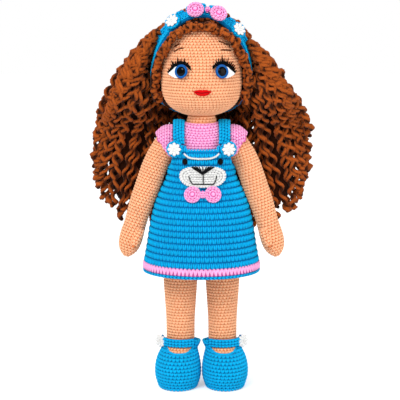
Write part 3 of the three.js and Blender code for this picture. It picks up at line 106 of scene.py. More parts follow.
# %% Sockets that can be added and multiplied
class Wire:
    """The output of a node, which can be used in sums."""

    def __init__(self, node, name=0):
        self.node = node
        self.tree = node.id_data
        self.socket = node.outputs[name]

    def of(self, name):
        return Wire(self.node, name)

    def math(self, operation, other=0.0, swapped=False):
        pair = (other, self) if swapped else (self, other)
        return make_node(self.tree, "ShaderNodeMath", {"operation": operation}, pair)

    def __add__(self, other):
        return self.math("ADD", other)

    def __sub__(self, other):
        return self.math("SUBTRACT", other)

    def __rsub__(self, other):
        return self.math("SUBTRACT", other, swapped=True)

    def __mul__(self, other):
        return self.math("MULTIPLY", other)

    __radd__ = __add__
    __rmul__ = __mul__


def make_node(tree, kind, settings=None, inputs=()):
    """Adds a node, sets it, and fills its sockets with values or with other nodes' wires."""
    node = tree.nodes.new(kind)
    for name, value in (settings or {}).items():
        setattr(node, name, value)
    pairs = inputs.items() if isinstance(inputs, dict) else enumerate(inputs)
    for name, value in pairs:
        if isinstance(value, Wire):
            tree.links.new(value.socket, node.inputs[name])
        else:
            node.inputs[name].default_value = value
    return Wire(node)


def linear(code):
    """A colour written as six letters and digits, as the shader wants it."""
    parts = [int(code[i : i + 2], 16) / 255 for i in (0, 2, 4)]
    light = [p / 12.92 if p <= 0.04045 else ((p + 0.055) / 1.055) ** 2.4 for p in parts]
    return (*light, 1)


def blend_colour(tree, share, first, second, how="MIX"):
    node = make_node(
        tree,
        "ShaderNodeMix",
        {"data_type": "RGBA", "blend_type": how, "clamp_factor": True},
        {0: share, 6: first, 7: second},
    )
    return node.of(2)


def plug(tree, wire, shader, name):
    tree.links.new(wire.socket, shader.inputs[name])


def constants(shader, values):
    for name, value in values.items():
        shader.inputs[name].default_value = value


def new_material(name, roughness=0.9, slot=None):
    material = bpy.data.materials.new(name)
    material["slot"] = slot or name
    material.use_nodes = True
    tree = material.node_tree
    shader = tree.nodes["Principled BSDF"]
    constants(shader, {"Roughness": roughness})
    return material, tree, shader

# %% [markdown]
# Most materials start from the place of a point on the piece, lay a cloudy pattern
# on it, and raise a fine bump. A piece can also bring numbers of its own.

# %% Nodes that come back in every material
def place_on(tree):
    return make_node(tree, "ShaderNodeTexCoord").of("Object")


def own_number(tree, name):
    return make_node(tree, "ShaderNodeAttribute", {"attribute_name": name}).of("Fac")


def noise(tree, place, **values):
    """A cloudy pattern; the names of its values are those of the sockets, in small letters."""
    inputs = {name.capitalize(): value for name, value in values.items()}
    return make_node(tree, "ShaderNodeTexNoise", {}, {"Vector": place, **inputs})


def bump_of(tree, height, strength, distance):
    inputs = {"Strength": strength, "Distance": distance, "Height": height}
    return make_node(tree, "ShaderNodeBump", {}, inputs)

# %% [markdown]
# Yarn is one colour, and this material paints light and shade into it: a stitch is
# painted lightest on top and in a deeper, more saturated painted shade down between the
# stitches, and its loose fibres make it matt and a little fuzzy. Every stitch carries two
# numbers of its own: `lift`, from 0 at the bottom to 1 on top, which sets how much painted
# shade it gets, and a tone number, which differs a little from stitch to stitch and is
# lowered further as painted shade on pieces that stand in the shade.

# %% Yarn and thread
def yarn(slot, top, deep, fuzz=0.5, fibre=1500, sheen=0.03, soft=0.3, reach=(0, 0.42), vary=0.05):
    material, tree, shader = new_material(f"{slot}_in_stitches", slot=slot)
    place, lift, tint = place_on(tree), own_number(tree, "lift"), own_number(tree, "tint")
    fine = noise(tree, place, scale=fibre, detail=3.0, roughness=0.65)
    cloudy = noise(tree, place, scale=90.0, detail=2.0)
    # Painted shade: low points get the deep colour, the shade between stitches painted in; high
    # points get the lit top colour.
    height = make_node(
        tree,
        "ShaderNodeMapRange",
        {"interpolation_type": "SMOOTHSTEP"},
        {0: lift + (fine - 0.5) * soft, 1: reach[0], 2: reach[1], 3: 0.0, 4: 1.0},
    )
    # The tone number gives each stitch its own random tone, and also carries painted shade where a
    # piece lowers it.
    shade = 0.95 + tint * vary + (cloudy - 0.5) * 0.1 + (fine - 0.5) * fuzz * 0.35
    grey = make_node(tree, "ShaderNodeCombineColor", {}, [shade, shade, shade])
    colour = blend_colour(tree, height, linear(deep), linear(top))
    plug(tree, blend_colour(tree, 1.0, colour, grey, "MULTIPLY"), shader, "Base Color")
    plug(tree, 0.8 + fine * 0.18, shader, "Roughness")
    plug(tree, bump_of(tree, fine, fuzz, 0.0004), shader, "Normal")
    constants(
        shader, {"Sheen Weight": sheen, "Sheen Roughness": 0.5, "Specular IOR Level": 0.08}
    )
    return material


# Each yarn: its lit colour first, then its painted shade colour for the gaps between stitches and
# the inner sides.
skin_yarn = yarn("skin_yarn", "fdbd90", "ee8446")
blue_yarn = yarn("blue_yarn", "00afe8", "0072b0")
pink_yarn = yarn("pink_yarn", "ffb0e0", "f062bc")
white_yarn = yarn("white_yarn", "e6e6e4", "d0d0d4", fuzz=0.3)
curl_look = {"fuzz": 1.0, "fibre": 900, "sheen": 0.06, "soft": 0.45}
# Hair is painted light only on the outer tops of its windings, and in deep painted shade
# elsewhere.
hair_yarn = yarn("hair_yarn", "a65019", "381604", **curl_look, reach=(0.15, 1), vary=0.16)
black_yarn = yarn("black_yarn", "101013", "050506", fuzz=0.3, sheen=0.02)
print("yarns", [m.name for m in bpy.data.materials if m.name.endswith("stitches")])

# %% [markdown]
# A few sums about lines come back all through the script: how far along a line its
# points lie, points set evenly on it, and a line evened out.

# %% Turns, directions and lines
def turns_round(count):
    return 2 * math.pi * np.arange(count) / count


def unit(way):
    return way / np.linalg.norm(way)


def unit_rows(rows):
    return rows / np.linalg.norm(rows, axis=1, keepdims=True)


def run_up(steps):
    """The sums of the steps so far, starting at 0. A step that isn't known counts as 0."""
    return np.concatenate([[0], np.cumsum(np.nan_to_num(steps))])


def run_of(line):
    """How far along the line each of its points lies."""
    return run_up(np.linalg.norm(np.diff(line, axis=0), axis=1))


def read_line(at, run, line):
    """The points of a line at other places along it."""
    return np.stack([np.interp(at, run, line[:, k]) for k in range(line.shape[1])], -1)


def along_line(line, step):
    """The line's points set evenly, a step apart."""
    run = run_of(line)
    at = np.linspace(0, run[-1], max(4, round(run[-1] / step) + 1))
    return read_line(at, run, line)


def eased(line, times, closed=False):
    """A line evened out, with each point drawn towards the middle of its two neighbours."""
    for _ in range(times):
        if closed:
            line = line * 0.5 + (np.roll(line, 1, 0) + np.roll(line, -1, 0)) * 0.25
        else:
            line[1:-1] = line[1:-1] * 0.5 + (line[2:] + line[:-2]) * 0.25
    return line

# %% [markdown]
# Each soft piece of the frame is measured with rays: from far outside, a ray is sent
# towards the middle of the piece, and where it lands is a point of its surface. A
# ring of such points is one crochet round, and a stack of rings is the whole piece.

# %% Rays, and rows of points
NOWHERE = (math.nan, math.nan, math.nan)
far_off = 0.2


def tree_of(node):
    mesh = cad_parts[node].data
    corners = [v.co.copy() for v in mesh.vertices]
    return BVHTree.FromPolygons(corners, [tuple(p.vertices) for p in mesh.polygons])


def touch(tree, middle, way, reach=0.15):
    place = tree.ray_cast(middle + way * reach, -way, reach)[0]
    return NOWHERE if place is None else tuple(place)


def smooth_rows(grid, times):
    """Evens out a grid of rings, leaving out the places where there is no point."""
    for _ in range(times):
        across = np.roll(grid, 1, 1) + np.roll(grid, -1, 1)
        along = np.full_like(grid, math.nan)
        along[1:-1] = grid[2:] + grid[:-2]
        for near in (across, along):
            better = grid * 0.5 + near * 0.25
            grid = np.where(np.isfinite(better), better, grid)
    return grid


def spaced_rows(grid, height):
    """Rows of the grid set one stitch apart, and no higher than each column's own edge."""
    run = run_up(np.nanmean(np.linalg.norm(np.diff(grid, axis=0), axis=2), axis=1))
    rows = max(1, round(run[-1] / height))
    wanted = np.linspace(0, run[-1], rows + 1)
    made = np.full((rows + 1, grid.shape[1], 3), math.nan)
    for j in range(grid.shape[1]):
        found = np.flatnonzero(np.isfinite(grid[:, j, 0]))
        if len(found) < 2:
            continue
        run_here = np.clip(wanted, run[found[0]], run[found[-1]])
        made[:, j] = read_line(run_here, run[found], grid[found, j])
    return made

# %% [markdown]
# A piece is measured from its lower end to its upper end. Where the cloth ends lower
# on one side than on the other, its edge is searched for by halving.

# %% Measuring a piece of the frame
def ring_of_points(tree, middle, ways):
    return np.array([touch(tree, middle, way) for way in ways])


def find_edges(tree, grid, low, high, ways):
    """Halves the way to each column's upper edge, so that the cloth ends where it should."""
    last_level = len(grid) - 1
    for j, way in enumerate(ways):
        found = np.flatnonzero(np.isfinite(grid[:, j, 0]))
        if len(found) == 0 or found[-1] == last_level:
            continue
        inside, outside = float(found[-1]), float(found[-1] + 1)
        for _ in range(6):
            half = (inside + outside) / 2
            place = touch(tree, low.lerp(high, half / last_level), way)
            if math.isnan(place[0]):
                outside = half
            else:
                inside = half
                grid[found[-1] + 1, j] = place


waves_kept = 5


def measure_rounds(
    node, low, high, side=(1, 0, 0), levels=64, columns=48, recentre=True, edged=False
):
    """Points of the node's surface in rings, from low to high, without their small facets."""
    tree = tree_of(node)
    low, high = Vector(low), Vector(high)
    axis = (high - low).normalized()
    first = (Vector(side) - axis * axis.dot(Vector(side))).normalized()
    second = axis.cross(first)
    ways = [first * math.cos(t) + second * math.sin(t) for t in turns_round(columns)]
    rings, shift = [], Vector((0, 0, 0))
    for i in range(levels):
        middle = low.lerp(high, i / (levels - 1)) + shift
        ring = ring_of_points(tree, middle, ways)
        if recentre and np.isfinite(ring).all():
            offset = Vector(ring.mean(0)) - middle
            offset -= axis * offset.dot(axis)
            shift += offset
            ring = ring_of_points(tree, middle + offset, ways)
        rings.append(ring)
    grid = np.array(rings)
    if edged:
        find_edges(tree, grid, low, high, ways)
    whole = np.isfinite(grid).all(axis=(1, 2))
    waves = np.fft.rfft(np.nan_to_num(grid[whole]), axis=1)
    waves[:, waves_kept:] = 0
    grid[whole] = np.fft.irfft(waves, columns, axis=1)
    return grid


head_height = 0.289
head_middle = Vector((0, middle_y, head_height))
chest_middle = (0, middle_y, 0.215)
shoulder_height = 0.2235
head_rings = measure_rounds("head", (0, middle_y, 0.2453), (0, middle_y, 0.3328))
print("head rings", head_rings.shape, "widest", round(float(np.nanmax(head_rings[..., 0])), 4))

# %% [markdown]
# A crochet stitch is modelled once. Seen from the front, a single crochet is a V of
# two plump strands, and the taller stitch of the dress is two upright strands. A
# strand is a ball pulled long; it is kept to a few faces, because thousands of them
# go on the doll.

# %% One stitch
def ball_of(subdivisions):
    """The points and the faces of a ball."""
    bpy.ops.mesh.primitive_ico_sphere_add(subdivisions=subdivisions, radius=1, location=(0, 0, 0))
    ball = bpy.context.object
    points = np.array([v.co for v in ball.data.vertices])
    faces = np.array([tuple(p.vertices) for p in ball.data.polygons])
    bpy.data.objects.remove(ball)
    return points, faces


ball_points, ball_faces = ball_of(1)


def strand(begin, end, half_width, half_thickness, rise, pitch, height):
    """A ball pulled long from begin to end, which are shares of the stitch's room."""
    b = np.array([begin[0] * pitch, begin[1] * height])
    e = np.array([end[0] * pitch, end[1] * height])
    along = (e - b) / 2
    half_length = np.linalg.norm(along) * 1.12
    along = unit(along)
    beside = np.array([-along[1], along[0]])
    flat = (
        (b + e) / 2
        + ball_points[:, :1] * half_length * along
        + ball_points[:, 1:2] * half_width * beside
    )
    out = rise + ball_points[:, 2] * half_thickness
    return np.column_stack([flat[:, 0] / pitch, flat[:, 1] / height, out])


stitch_foot = 0.0003


def stitch_of(strands, pitch, height):
    """One stitch out of its strands, with how high each of its points stands."""
    points = [strand(*s, pitch, height) for s in strands]
    faces = [ball_faces + i * len(ball_points) for i in range(len(strands))]
    made = np.vstack(points)
    top = made[:, 2].max()
    return {
        "points": made,
        "faces": np.vstack(faces),
        # How high each point stands; the yarn paints the low points in painted shade.
        "lift": np.clip((made[:, 2] + stitch_foot) / (top + stitch_foot), 0, 1),
        "pitch": pitch,
        "height": height,
    }


def single_crochet(pitch=0.0031, height=0.0027, size=1.0, flat=1.0):
    build = (0.00095 * size, 0.00065 * size * flat, 0.0002)
    legs = [((0.5, -0.12), (0.14, 0.95), *build), ((0.5, -0.12), (0.86, 0.95), *build)]
    return stitch_of(legs, pitch, height)


def tall_crochet(pitch=0.0039, height=0.0054):
    build = (0.00083, 0.0009, 0.0005)
    uprights = [((0.38, 0.02), (0.2, 0.94), *build), ((0.66, 0.02), (0.8, 0.94), *build)]
    return stitch_of(uprights, pitch, height)


small_stitch = single_crochet()
dress_stitch = tall_crochet()
print("stitch faces", len(small_stitch["faces"]), "and", len(dress_stitch["faces"]))

# %% [markdown]
# Stitches are copied along the rounds. A round that is longer gets more of them, as
# in crochet, and each copy is bent to the surface under it. Where a row is squeezed
# to less than half a stitch, it gets none.

# %% Laying stitches on rounds
least_rise = 0.45


def normals_of(grid, closed):
    if closed:
        beside = np.roll(grid, -1, 1) - np.roll(grid, 1, 1)
    else:
        beside = np.gradient(grid, axis=1)
    up = np.gradient(grid, axis=0)
    normal = np.cross(beside, up)
    size = np.linalg.norm(normal, axis=2, keepdims=True)
    return normal / np.where(size > 1e-12, size, math.nan)


def lay_stitches(grid, stitch, closed=True, lean=0.2, rows=None):
    """Points, faces, lift and tint of one stitch copied all along the rows of a grid."""
    model, faces = stitch["points"], stitch["faces"]
    normal = normals_of(grid, closed)
    all_points, all_tints = [], []
    for r in rows if rows is not None else range(len(grid) - 1):
        low, high, out = grid[r], grid[r + 1], (normal[r] + normal[r + 1]) / 2
        if closed:
            low, high, out = (np.vstack([g, g[:1]]) for g in (low, high, out))
        run = run_of((low + high) / 2)
        count = round(run[-1] / stitch["pitch"])
        if count < 4 and closed or count < 1:
            continue
        share = (np.arange(count)[:, None] + model[None, :, 0] + lean * r * closed) / count
        at = (share % 1.0 if closed else share) * run[-1]
        a, b, n = (read_line(at, run, g) for g in (low, high, out))
        rise = np.linalg.norm(b - a, axis=2).mean(1)
        placed = a + (b - a) * model[None, :, 1:2] + n * model[None, :, 2:3]
        good = np.isfinite(placed).all(axis=(1, 2)) & (rise > stitch["height"] * least_rise)
        if not good.any():
            continue
        all_points.append(placed[good])
        all_tints.append(chance.uniform(-1, 1, int(good.sum())))
    points = np.concatenate(all_points)
    offsets = np.arange(len(points))[:, None, None] * len(model)
    return {
        "points": points.reshape(-1, 3),
        "faces": (faces[None] + offsets).reshape(-1, 3),
        "lift": np.tile(stitch["lift"], len(points)),
        "tint": np.repeat(np.concatenate(all_tints), len(model)),
    }

# %% [markdown]
# A part is a set of points and faces with two numbers for each point: a lift, and a
# tone that also carries painted shade. Several parts make one object, which hangs on its
# body and hides the frame's node that it replaces.

# %% Objects out of parts
def mesh_piece(name, parts, material):
    """One object out of several sets of points and faces."""
    points, faces, lift, tint, start = [], [], [], [], 0
    for part in parts:
        points.append(part["points"])
        faces += [tuple(int(i) + start for i in face) for face in part["faces"]]
        lift.append(part["lift"])
        tint.append(part["tint"])
        start += len(part["points"])
    mesh = bpy.data.meshes.new(name)
    mesh.from_pydata(np.vstack(points).tolist(), [], faces)
    for label, values in (("lift", lift), ("tint", tint)):
        layer = mesh.attributes.new(label, "FLOAT", "POINT")
        layer.data.foreach_set("value", np.concatenate(values).astype(np.float32))
    piece = bpy.data.objects.new(name, mesh)
    bpy.context.collection.objects.link(piece)
    mesh.shade_smooth()
    mesh.materials.append(material)
    return piece


def enter(piece, node=None, body="root"):
    """Hangs a piece on the body that carries it, and hides the frame's node that it replaces."""
    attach(piece, body)
    if node:
        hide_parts(node)


def soft_piece(name, parts, material, node=None, body="root"):
    """An object made of parts, hung on its body, with the frame's node that it replaces hidden."""
    piece = mesh_piece(name, parts, material)
    enter(piece, node, body)
    return piece


def select_only(piece):
    bpy.ops.object.select_all(action="DESELECT")
    piece.select_set(True)
    bpy.context.view_layer.objects.active = piece

# %% [markdown]
# Under the stitches lies a smooth body, sunk by a third of a millimetre, which
# closes the gaps between them. It carries no lift, so the yarn paints it in its painted
# shade colour, as the shade between the stitches; where it is ribbed, its bulging rows
# are painted lighter. It is a flat grid that is rolled onto the rounds.

# %% Smooth bodies under the stitches
rib_painted_light = 0.2


def ribbed(grid, depth):
    """More rows between the rounds, which bulge outward, and how far each row does."""
    normal = np.nan_to_num(normals_of(grid, True))
    rows, lift = [], []
    for r in range(len(grid) - 1):
        for share in (0.0, 0.12, 0.3, 0.5, 0.7, 0.88):
            bulge = math.sin(math.pi * share) ** 0.7 if share else 0.0
            out = normal[r] * (1 - share) + normal[r + 1] * share
            rows.append(grid[r] * (1 - share) + grid[r + 1] * share + out * bulge * depth)
            lift.append(bulge)
    rows.append(grid[-1])
    return np.array(rows), np.array([*lift, 0.0])


def rolled_cloth(grid, closed, sink=0.0003, capped=True, rib=0.0):
    """A flat grid rolled onto the rounds, with its seam and its ends closed."""
    lift = np.zeros(len(grid))
    if rib:
        grid, lift = ribbed(grid, rib)
    rows, columns = grid.shape[:2]
    if closed:
        grid = np.concatenate([grid, grid[:, :1]], 1)
        columns += 1
    normal = normals_of(grid, False)
    if closed:
        normal[:, 0] = normal[:, -1] = (normal[:, 0] + normal[:, -1]) / 2
    place = grid - np.nan_to_num(normal) * sink
    bpy.ops.mesh.primitive_grid_add(x_subdivisions=columns - 1, y_subdivisions=rows - 1)
    cloth = bpy.context.object
    flat = place.reshape(-1, 3)
    good = np.isfinite(flat).all(axis=1)
    cloth.data.vertices.foreach_set("co", np.nan_to_num(flat).astype(np.float32).ravel())
    # Painted light: rows that bulge get some lift and are painted lighter; the rest stays in the
    # painted shade colour.
    layer = cloth.data.attributes.new("lift", "FLOAT", "POINT")
    layer.data.foreach_set("value", np.repeat(lift * rib_painted_light, columns))
    cloth.data.update()
    bpy.ops.object.mode_set(mode="EDIT")
    if not good.all():
        bpy.ops.mesh.select_all(action="DESELECT")
        bpy.ops.object.mode_set(mode="OBJECT")
        cloth.data.vertices.foreach_set("select", ~good)
        bpy.ops.object.mode_set(mode="EDIT")
        bpy.ops.mesh.delete(type="VERT")
    bpy.ops.mesh.select_all(action="SELECT")
    bpy.ops.mesh.remove_doubles(threshold=0.00002)
    if capped:
        bpy.ops.mesh.fill_holes(sides=0)
    bpy.ops.mesh.select_all(action="SELECT")
    bpy.ops.mesh.normals_make_consistent(inside=False)
    bpy.ops.object.mode_set(mode="OBJECT")
    return cloth


def taken_apart(cloth):
    """The points and faces of an object, which is then removed."""
    points = np.array([v.co for v in cloth.data.vertices])
    faces = [tuple(p.vertices) for p in cloth.data.polygons]
    bpy.data.objects.remove(cloth)
    # No lift: the yarn paints these points in its painted shade colour.
    flat = np.zeros(len(points))
    return {"points": points, "faces": faces, "lift": flat, "tint": flat}


def stuffed(name, grid, stitch, material, node, body="root", rows=None):
    """A stuffed piece: its sunk body and the stitches on it, in one object."""
    base = taken_apart(rolled_cloth(grid, True))
    parts = [base, lay_stitches(grid, stitch, rows=rows)]
    return soft_piece(name, parts, material, node, body)

# %% [markdown]
# ## The stuffed body
# The head is worked in level rounds from the chin to the crown. A low bump under
# the middle of the face makes its nose.

# %% Head
nose_middle, nose_size, nose_rise = (-0.0003, 0.2813), (0.0042, 0.0032), 0.0016


def with_nose(grid):
    near = np.exp(-(((grid[..., [0, 2]] - nose_middle) / nose_size) ** 2).sum(-1))
    front = grid[..., 1] < middle_y
    shaped = grid.copy()
    shaped[..., 1] -= nose_rise * near * front
    return shaped


head_grid = with_nose(spaced_rows(smooth_rows(head_rings, 3), small_stitch["height"]))
head = stuffed("crocheted_head", head_grid, small_stitch, skin_yarn, "head")
print("head rounds", len(head_grid) - 1, "faces", len(head.data.polygons))

# %% [markdown]
# The torso, the legs and the arms are long stuffed tubes. Their rounds are measured
# across the way they run, so that the rounds of the arms slant as the arms do.

# %% Torso, legs and arms
def long_piece(node, low, high, body="root", above=0.0, **more):
    rings = smooth_rows(measure_rounds(node, low, high, **more), 2)
    grid = spaced_rows(rings, small_stitch["height"])
    shown = [r for r in range(len(grid) - 1) if grid[r, 0, 2] > above]
    piece = stuffed(f"crocheted_{node}", grid, small_stitch, skin_yarn, node, body, rows=shown)
    print(piece.name, "faces", len(piece.data.polygons))


torso_low, torso_high, neck_shows_above = (0, middle_y, 0.1263), (0, middle_y, 0.246), 0.233
long_piece("torso", torso_low, torso_high, above=neck_shows_above)
for side, sign in both_sides:
    leg_low = (sign * 0.0208, -0.012, 0.0042)
    leg_high = (sign * 0.018, middle_y, 0.1397)
    long_piece(f"{side}_leg", leg_low, leg_high)
    arm_high = (sign * 0.0285, middle_y, 0.2335)
    arm_low = (sign * 0.0672, -0.0105, 0.1187)
    long_piece(f"{side}_arm", arm_low, arm_high, f"{side}_arm", columns=32)

# %% [markdown]
# ## Clothes
# The clothes are single sheets of crochet. Each is measured the same way and gets
# its real thickness. Some are finished with a chain of stitches along their edge.

# %% Sheets of crochet
def chain_stitch(pitch=0.0026, height=0.0022):
    build = (0.00062, 0.0006, 0.0002)
    links = [((-0.1, 0.45), (0.95, 0.15), *build), ((-0.1, 0.55), (0.95, 0.85), *build)]
    return stitch_of(links, pitch, height)


edge_chain = chain_stitch()


def ribbon_along(line, out, width):
    """Two lines of points on either side of a closed line on a surface."""
    along = np.roll(line, -1, 0) - np.roll(line, 1, 0)
    beside = unit_rows(np.cross(out, along))
    return np.stack([line - beside * width / 2, line + beside * width / 2])


def thick_sheet(name, grid, thickness, closed=True, sink=0.0004, rib=0.0):
    cloth = rolled_cloth(grid, closed, sink=sink, capped=False, rib=rib)
    cloth.name = cloth.data.name = name
    solidify = cloth.modifiers.new("thickness", "SOLIDIFY")
    solidify.thickness = thickness
    solidify.offset = -1
    select_only(cloth)
    bpy.ops.object.modifier_apply(modifier="thickness")
    cloth.data.shade_smooth()
    return cloth


def area_of(grid, closed):
    if closed:
        grid = np.concatenate([grid, grid[:, :1]], 1)
    a = grid[1:, :-1] - grid[:-1, :-1]
    b = grid[:-1, 1:] - grid[:-1, :-1]
    return float(np.nansum(np.linalg.norm(np.cross(a, b), axis=2)))


def worked_sheet(
    name, node, grid, stitch, material, flat=None,
    closed=True, thickness=0.0012, rib=0.0, lean=0.2, cords=(), edge=None, body="root", blend=None,
):
    """A sheet of crochet: the cloth itself, and the stitches that show on it."""
    cloth = thick_sheet(name, grid, thickness, closed, rib=rib)
    cloth.data.materials.append(material)
    parts = [lay_stitches(grid, stitch, closed, lean), *cords]
    if edge:
        parts.append(lay_stitches(ribbon_along(*edge, edge_chain["height"]), edge_chain))
    stitches = mesh_piece(f"{name}_stitches", parts, material)
    for piece in (cloth, stitches):
        if blend:
            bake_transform(piece)
        else:
            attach(piece, body)
    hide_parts(node)
    if flat:
        area = min(flat[0] * flat[1], area_of(grid, closed))
    print(name, "area", round(area_of(grid, closed), 5), "faces", len(stitches.data.polygons))
    return cloth, stitches

# %% [markdown]
# A yarn that shows by itself, such as a curl, a cord or a thread, is a tube round a
# line. Its outer side is painted lightest and its inner side in painted shade, so that it
# looks round from afar.

# %% Tubes, and the edge of a sheet
def tube_round(line, radius, outward, sides=6, tint=0.0):
    """A closed tube round a line, rounded at its ends, painted lightest on its outer side."""
    ahead = unit_rows(np.gradient(line, axis=0))
    first = unit_rows(outward - ahead * (outward * ahead).sum(1, keepdims=True))
    second = np.cross(ahead, first)
    size = np.ones(len(line)) * radius
    size[[0, -1]] *= 0.7
    turn = turns_round(sides)
    rings = line[:, None] + size[:, None, None] * (
        first[:, None] * np.cos(turn)[None, :, None]
        + second[:, None] * np.sin(turn)[None, :, None]
    )
    tips = line[[0, -1]] + ahead[[0, -1]] * size[[0, -1], None] * np.array([[-0.5], [0.5]])
    count = len(line)
    a = np.arange(count - 1)[:, None] * sides + np.arange(sides)[None]
    b = np.arange(count - 1)[:, None] * sides + (np.arange(sides)[None] + 1) % sides
    quads = np.stack([a, b, b + sides, a + sides], -1).reshape(-1, 4)
    faces = [tuple(q) for q in quads]
    last = (count - 1) * sides
    for j in range(sides):
        k = (j + 1) % sides
        faces.append((k, j, count * sides))
        faces.append((last + j, last + k, count * sides + 1))
    # Painted light and shade: lift is highest on the outer side and lowest on the inner side.
    lift = np.concatenate([np.tile(0.5 + 0.42 * np.cos(turn), count), [0.6, 0.6]])
    points = np.vstack([rings.reshape(-1, 3), tips])
    return {"points": points, "faces": faces, "lift": lift, "tint": np.full(len(points), tint)}


def last_of(grid):
    """The uppermost found point of each column, and the outward direction there."""
    line = np.full((grid.shape[1], 3), math.nan)
    for row in grid:
        line = np.where(np.isfinite(row), row, line)
    out = line - np.array([0, middle_y, 0])
    out[:, 2] = 0
    return line, unit_rows(out)

# %% [markdown]
# The dress is worked in tall level rounds from the hem up. Its upper edge runs level
# round the back and rises to the bib in front. It starts with a blue round and a
# pink one, whose pointed stitches reach into their neighbours.

# %% Hem rounds
def hem_stitch(pitch, height):
    legs = [
        ((0.5, -0.04), (0.08, 1.12), 0.001, 0.0008, 0.0006),
        ((0.5, -0.04), (0.92, 1.12), 0.001, 0.0008, 0.0006),
        ((0.5, 0.25), (0.5, 0.9), 0.0007, 0.0006, 0.0003),
    ]
    return stitch_of(legs, pitch, height)


hem_pieces = []
hem_inset, more_high = 0.0004, 0.12
hem_levels = {
    "pink_round": (0.1081, 0.1139, hem_stitch(0.0036, 0.0058), pink_yarn, 0.12),
    "last_round": (0.1051, 0.1079, chain_stitch(0.0036, 0.0030), blue_yarn, 0.35),
}
for kind, (z_low, z_high, stitch, material, more_low) in hem_levels.items():
    node = f"hem_{kind}"
    low, high = (0, middle_y, z_low + hem_inset), (0, middle_y, z_high - hem_inset)
    grid = measure_rounds(node, low, high, levels=2, columns=64, recentre=False)
    below = grid[0] + (grid[0] - grid[1]) * more_low
    grid = np.array([below, grid[1] * (1 + more_high) - grid[0] * more_high])
    hem_pieces += worked_sheet(f"crocheted_{kind}", node, grid, stitch, material, lean=0)

# %% [markdown]
# The dress itself is deeply ribbed: each tall round bulges outward between its ends,
# and the bulges are painted lighter than the grooves, as painted light and shade.

# %% Dress
dress_low, dress_high, dress_into_hem = 0.1143, 0.2204, 0.0007
fine_measure = {"levels": 110, "columns": 96, "recentre": False, "edged": True}
dress_ends = (0, middle_y, dress_low), (0, middle_y, dress_high)
dress_rings = measure_rounds("dress", *dress_ends, **fine_measure)
dress_grid = spaced_rows(smooth_rows(dress_rings, 2), dress_stitch["height"])
dress_grid[0, :, 2] -= dress_into_hem
worked_sheet(
    "crocheted_dress", "dress", dress_grid, dress_stitch, blue_yarn,
    flat=(0.31, 0.12), edge=last_of(dress_grid),
    rib=0.0005,
)

# %% [markdown]
# The pink top is measured from a point in the chest, in cones from the waist up to
# the collar, so that its rounds also lie evenly on the shoulders. The frame has
# armholes in it, which stay open.

# %% Top
def measure_cones(node, middle, lowest, highest, levels, columns):
    """Points of the node's surface in rings, on rays that rise by so many degrees."""
    tree = tree_of(node)
    middle = Vector(middle)
    rings = []
    for i in range(levels):
        rise = math.radians(lowest + (highest - lowest) * i / (levels - 1))
        ways = [
            Vector((math.cos(rise) * math.cos(t), math.cos(rise) * math.sin(t), math.sin(rise)))
            for t in turns_round(columns)
        ]
        rings.append(ring_of_points(tree, middle, ways))
    return np.array(rings)


top_rings = measure_cones("top", chest_middle, -52, 62, levels=70, columns=72)
top_grid = spaced_rows(smooth_rows(top_rings, 1), small_stitch["height"])
worked_sheet(
    "crocheted_top", "top", top_grid, small_stitch, pink_yarn,
    flat=(0.19, 0.07),
)

# %% [markdown]
# Each cap sleeve is worked round the shoulder, outward from its seam, so its rounds
# stand upright.

# %% Sleeves
sleeve_seam, sleeve_hem, sleeve_bend_end, sleeve_round = 0.0256, 0.0411, 0.036, 0.0026
for side, sign in both_sides:
    seam = (sign * sleeve_seam, middle_y, shoulder_height)
    hem = (sign * sleeve_hem, middle_y, shoulder_height)
    bend_end = (sign * sleeve_bend_end, middle_y, shoulder_height)
    rings = measure_rounds(
        f"{side}_sleeve", seam, hem, (0, 0, 1), levels=40, recentre=False, edged=True
    )
    grid = spaced_rows(smooth_rows(rings, 1), sleeve_round)
    worked_sheet(
        f"crocheted_{side}_sleeve", f"{side}_sleeve", grid, small_stitch, pink_yarn,
        flat=(0.05, 0.016),
        blend=("root", f"{side}_arm", seam, bend_end),
    )

# %% [markdown]
# The shoes are level rounds from the sole to the opening, with a rolled cord round
# the edge. Their soles are flat.

# %% Shoes
shoe_stitch = single_crochet(0.0034, 0.0031, 1.15)
shoe_out, shoe_ahead, ankle_out = 0.0208, -0.0115, 0.02
shoe_low, shoe_high, sole_lift = 0.0004, 0.0398, 0.0003
rim_step, rim_radius, rim_inset = 0.0015, 0.0013, 0.0002
shoe_measure = {"levels": 80, "columns": 64, "recentre": False, "edged": True}
for side, sign in both_sides:
    middle = Vector((sign * shoe_out, shoe_ahead, 0))
    shoe_ends = (middle + Vector((0, 0, z)) for z in (shoe_low, shoe_high))
    rings = measure_rounds(f"{side}_shoe", *shoe_ends, **shoe_measure)
    grid = spaced_rows(smooth_rows(rings, 2), shoe_stitch["height"])
    grid[0] = rings[0]
    grid[0, :, 2] = sole_lift
    edge = eased(last_of(grid)[0], 3, closed=True)
    out = edge - np.array(Vector((sign * ankle_out, middle_y, 0)))
    out[:, 2] = 0
    out = unit_rows(out)
    rim = along_line(np.vstack([edge, edge[:2]]), rim_step)
    rim_out = read_line(np.linspace(0, 1, len(rim)), np.linspace(0, 1, len(out)), out)
    cord = tube_round(rim - rim_out * rim_inset, rim_radius, rim_out)
    worked_sheet(
        f"crocheted_{side}_shoe", f"{side}_shoe", grid, shoe_stitch, blue_yarn,
        flat=(0.15, 0.05), cords=[cord],
    )

# %% [markdown]
# ## Hair
# Every lock is a corkscrew: one thick chenille yarn wound round an invisible line.
# The line of a lock leaves the wig cap, arches outward and hangs down. How far back
# it lies is measured on the frame's mass of hair, so the locks fill that room.

# %% One corkscrew
yarn_radius, curl_winding, curl_pitch, steps_per_turn = 0.00195, 0.0021, 0.0128, 8
curl_flatness, end_tightening = 0.65, 0.55
knob = np.array([1.05, 1.25, 1.45, 1.5, 1.3])


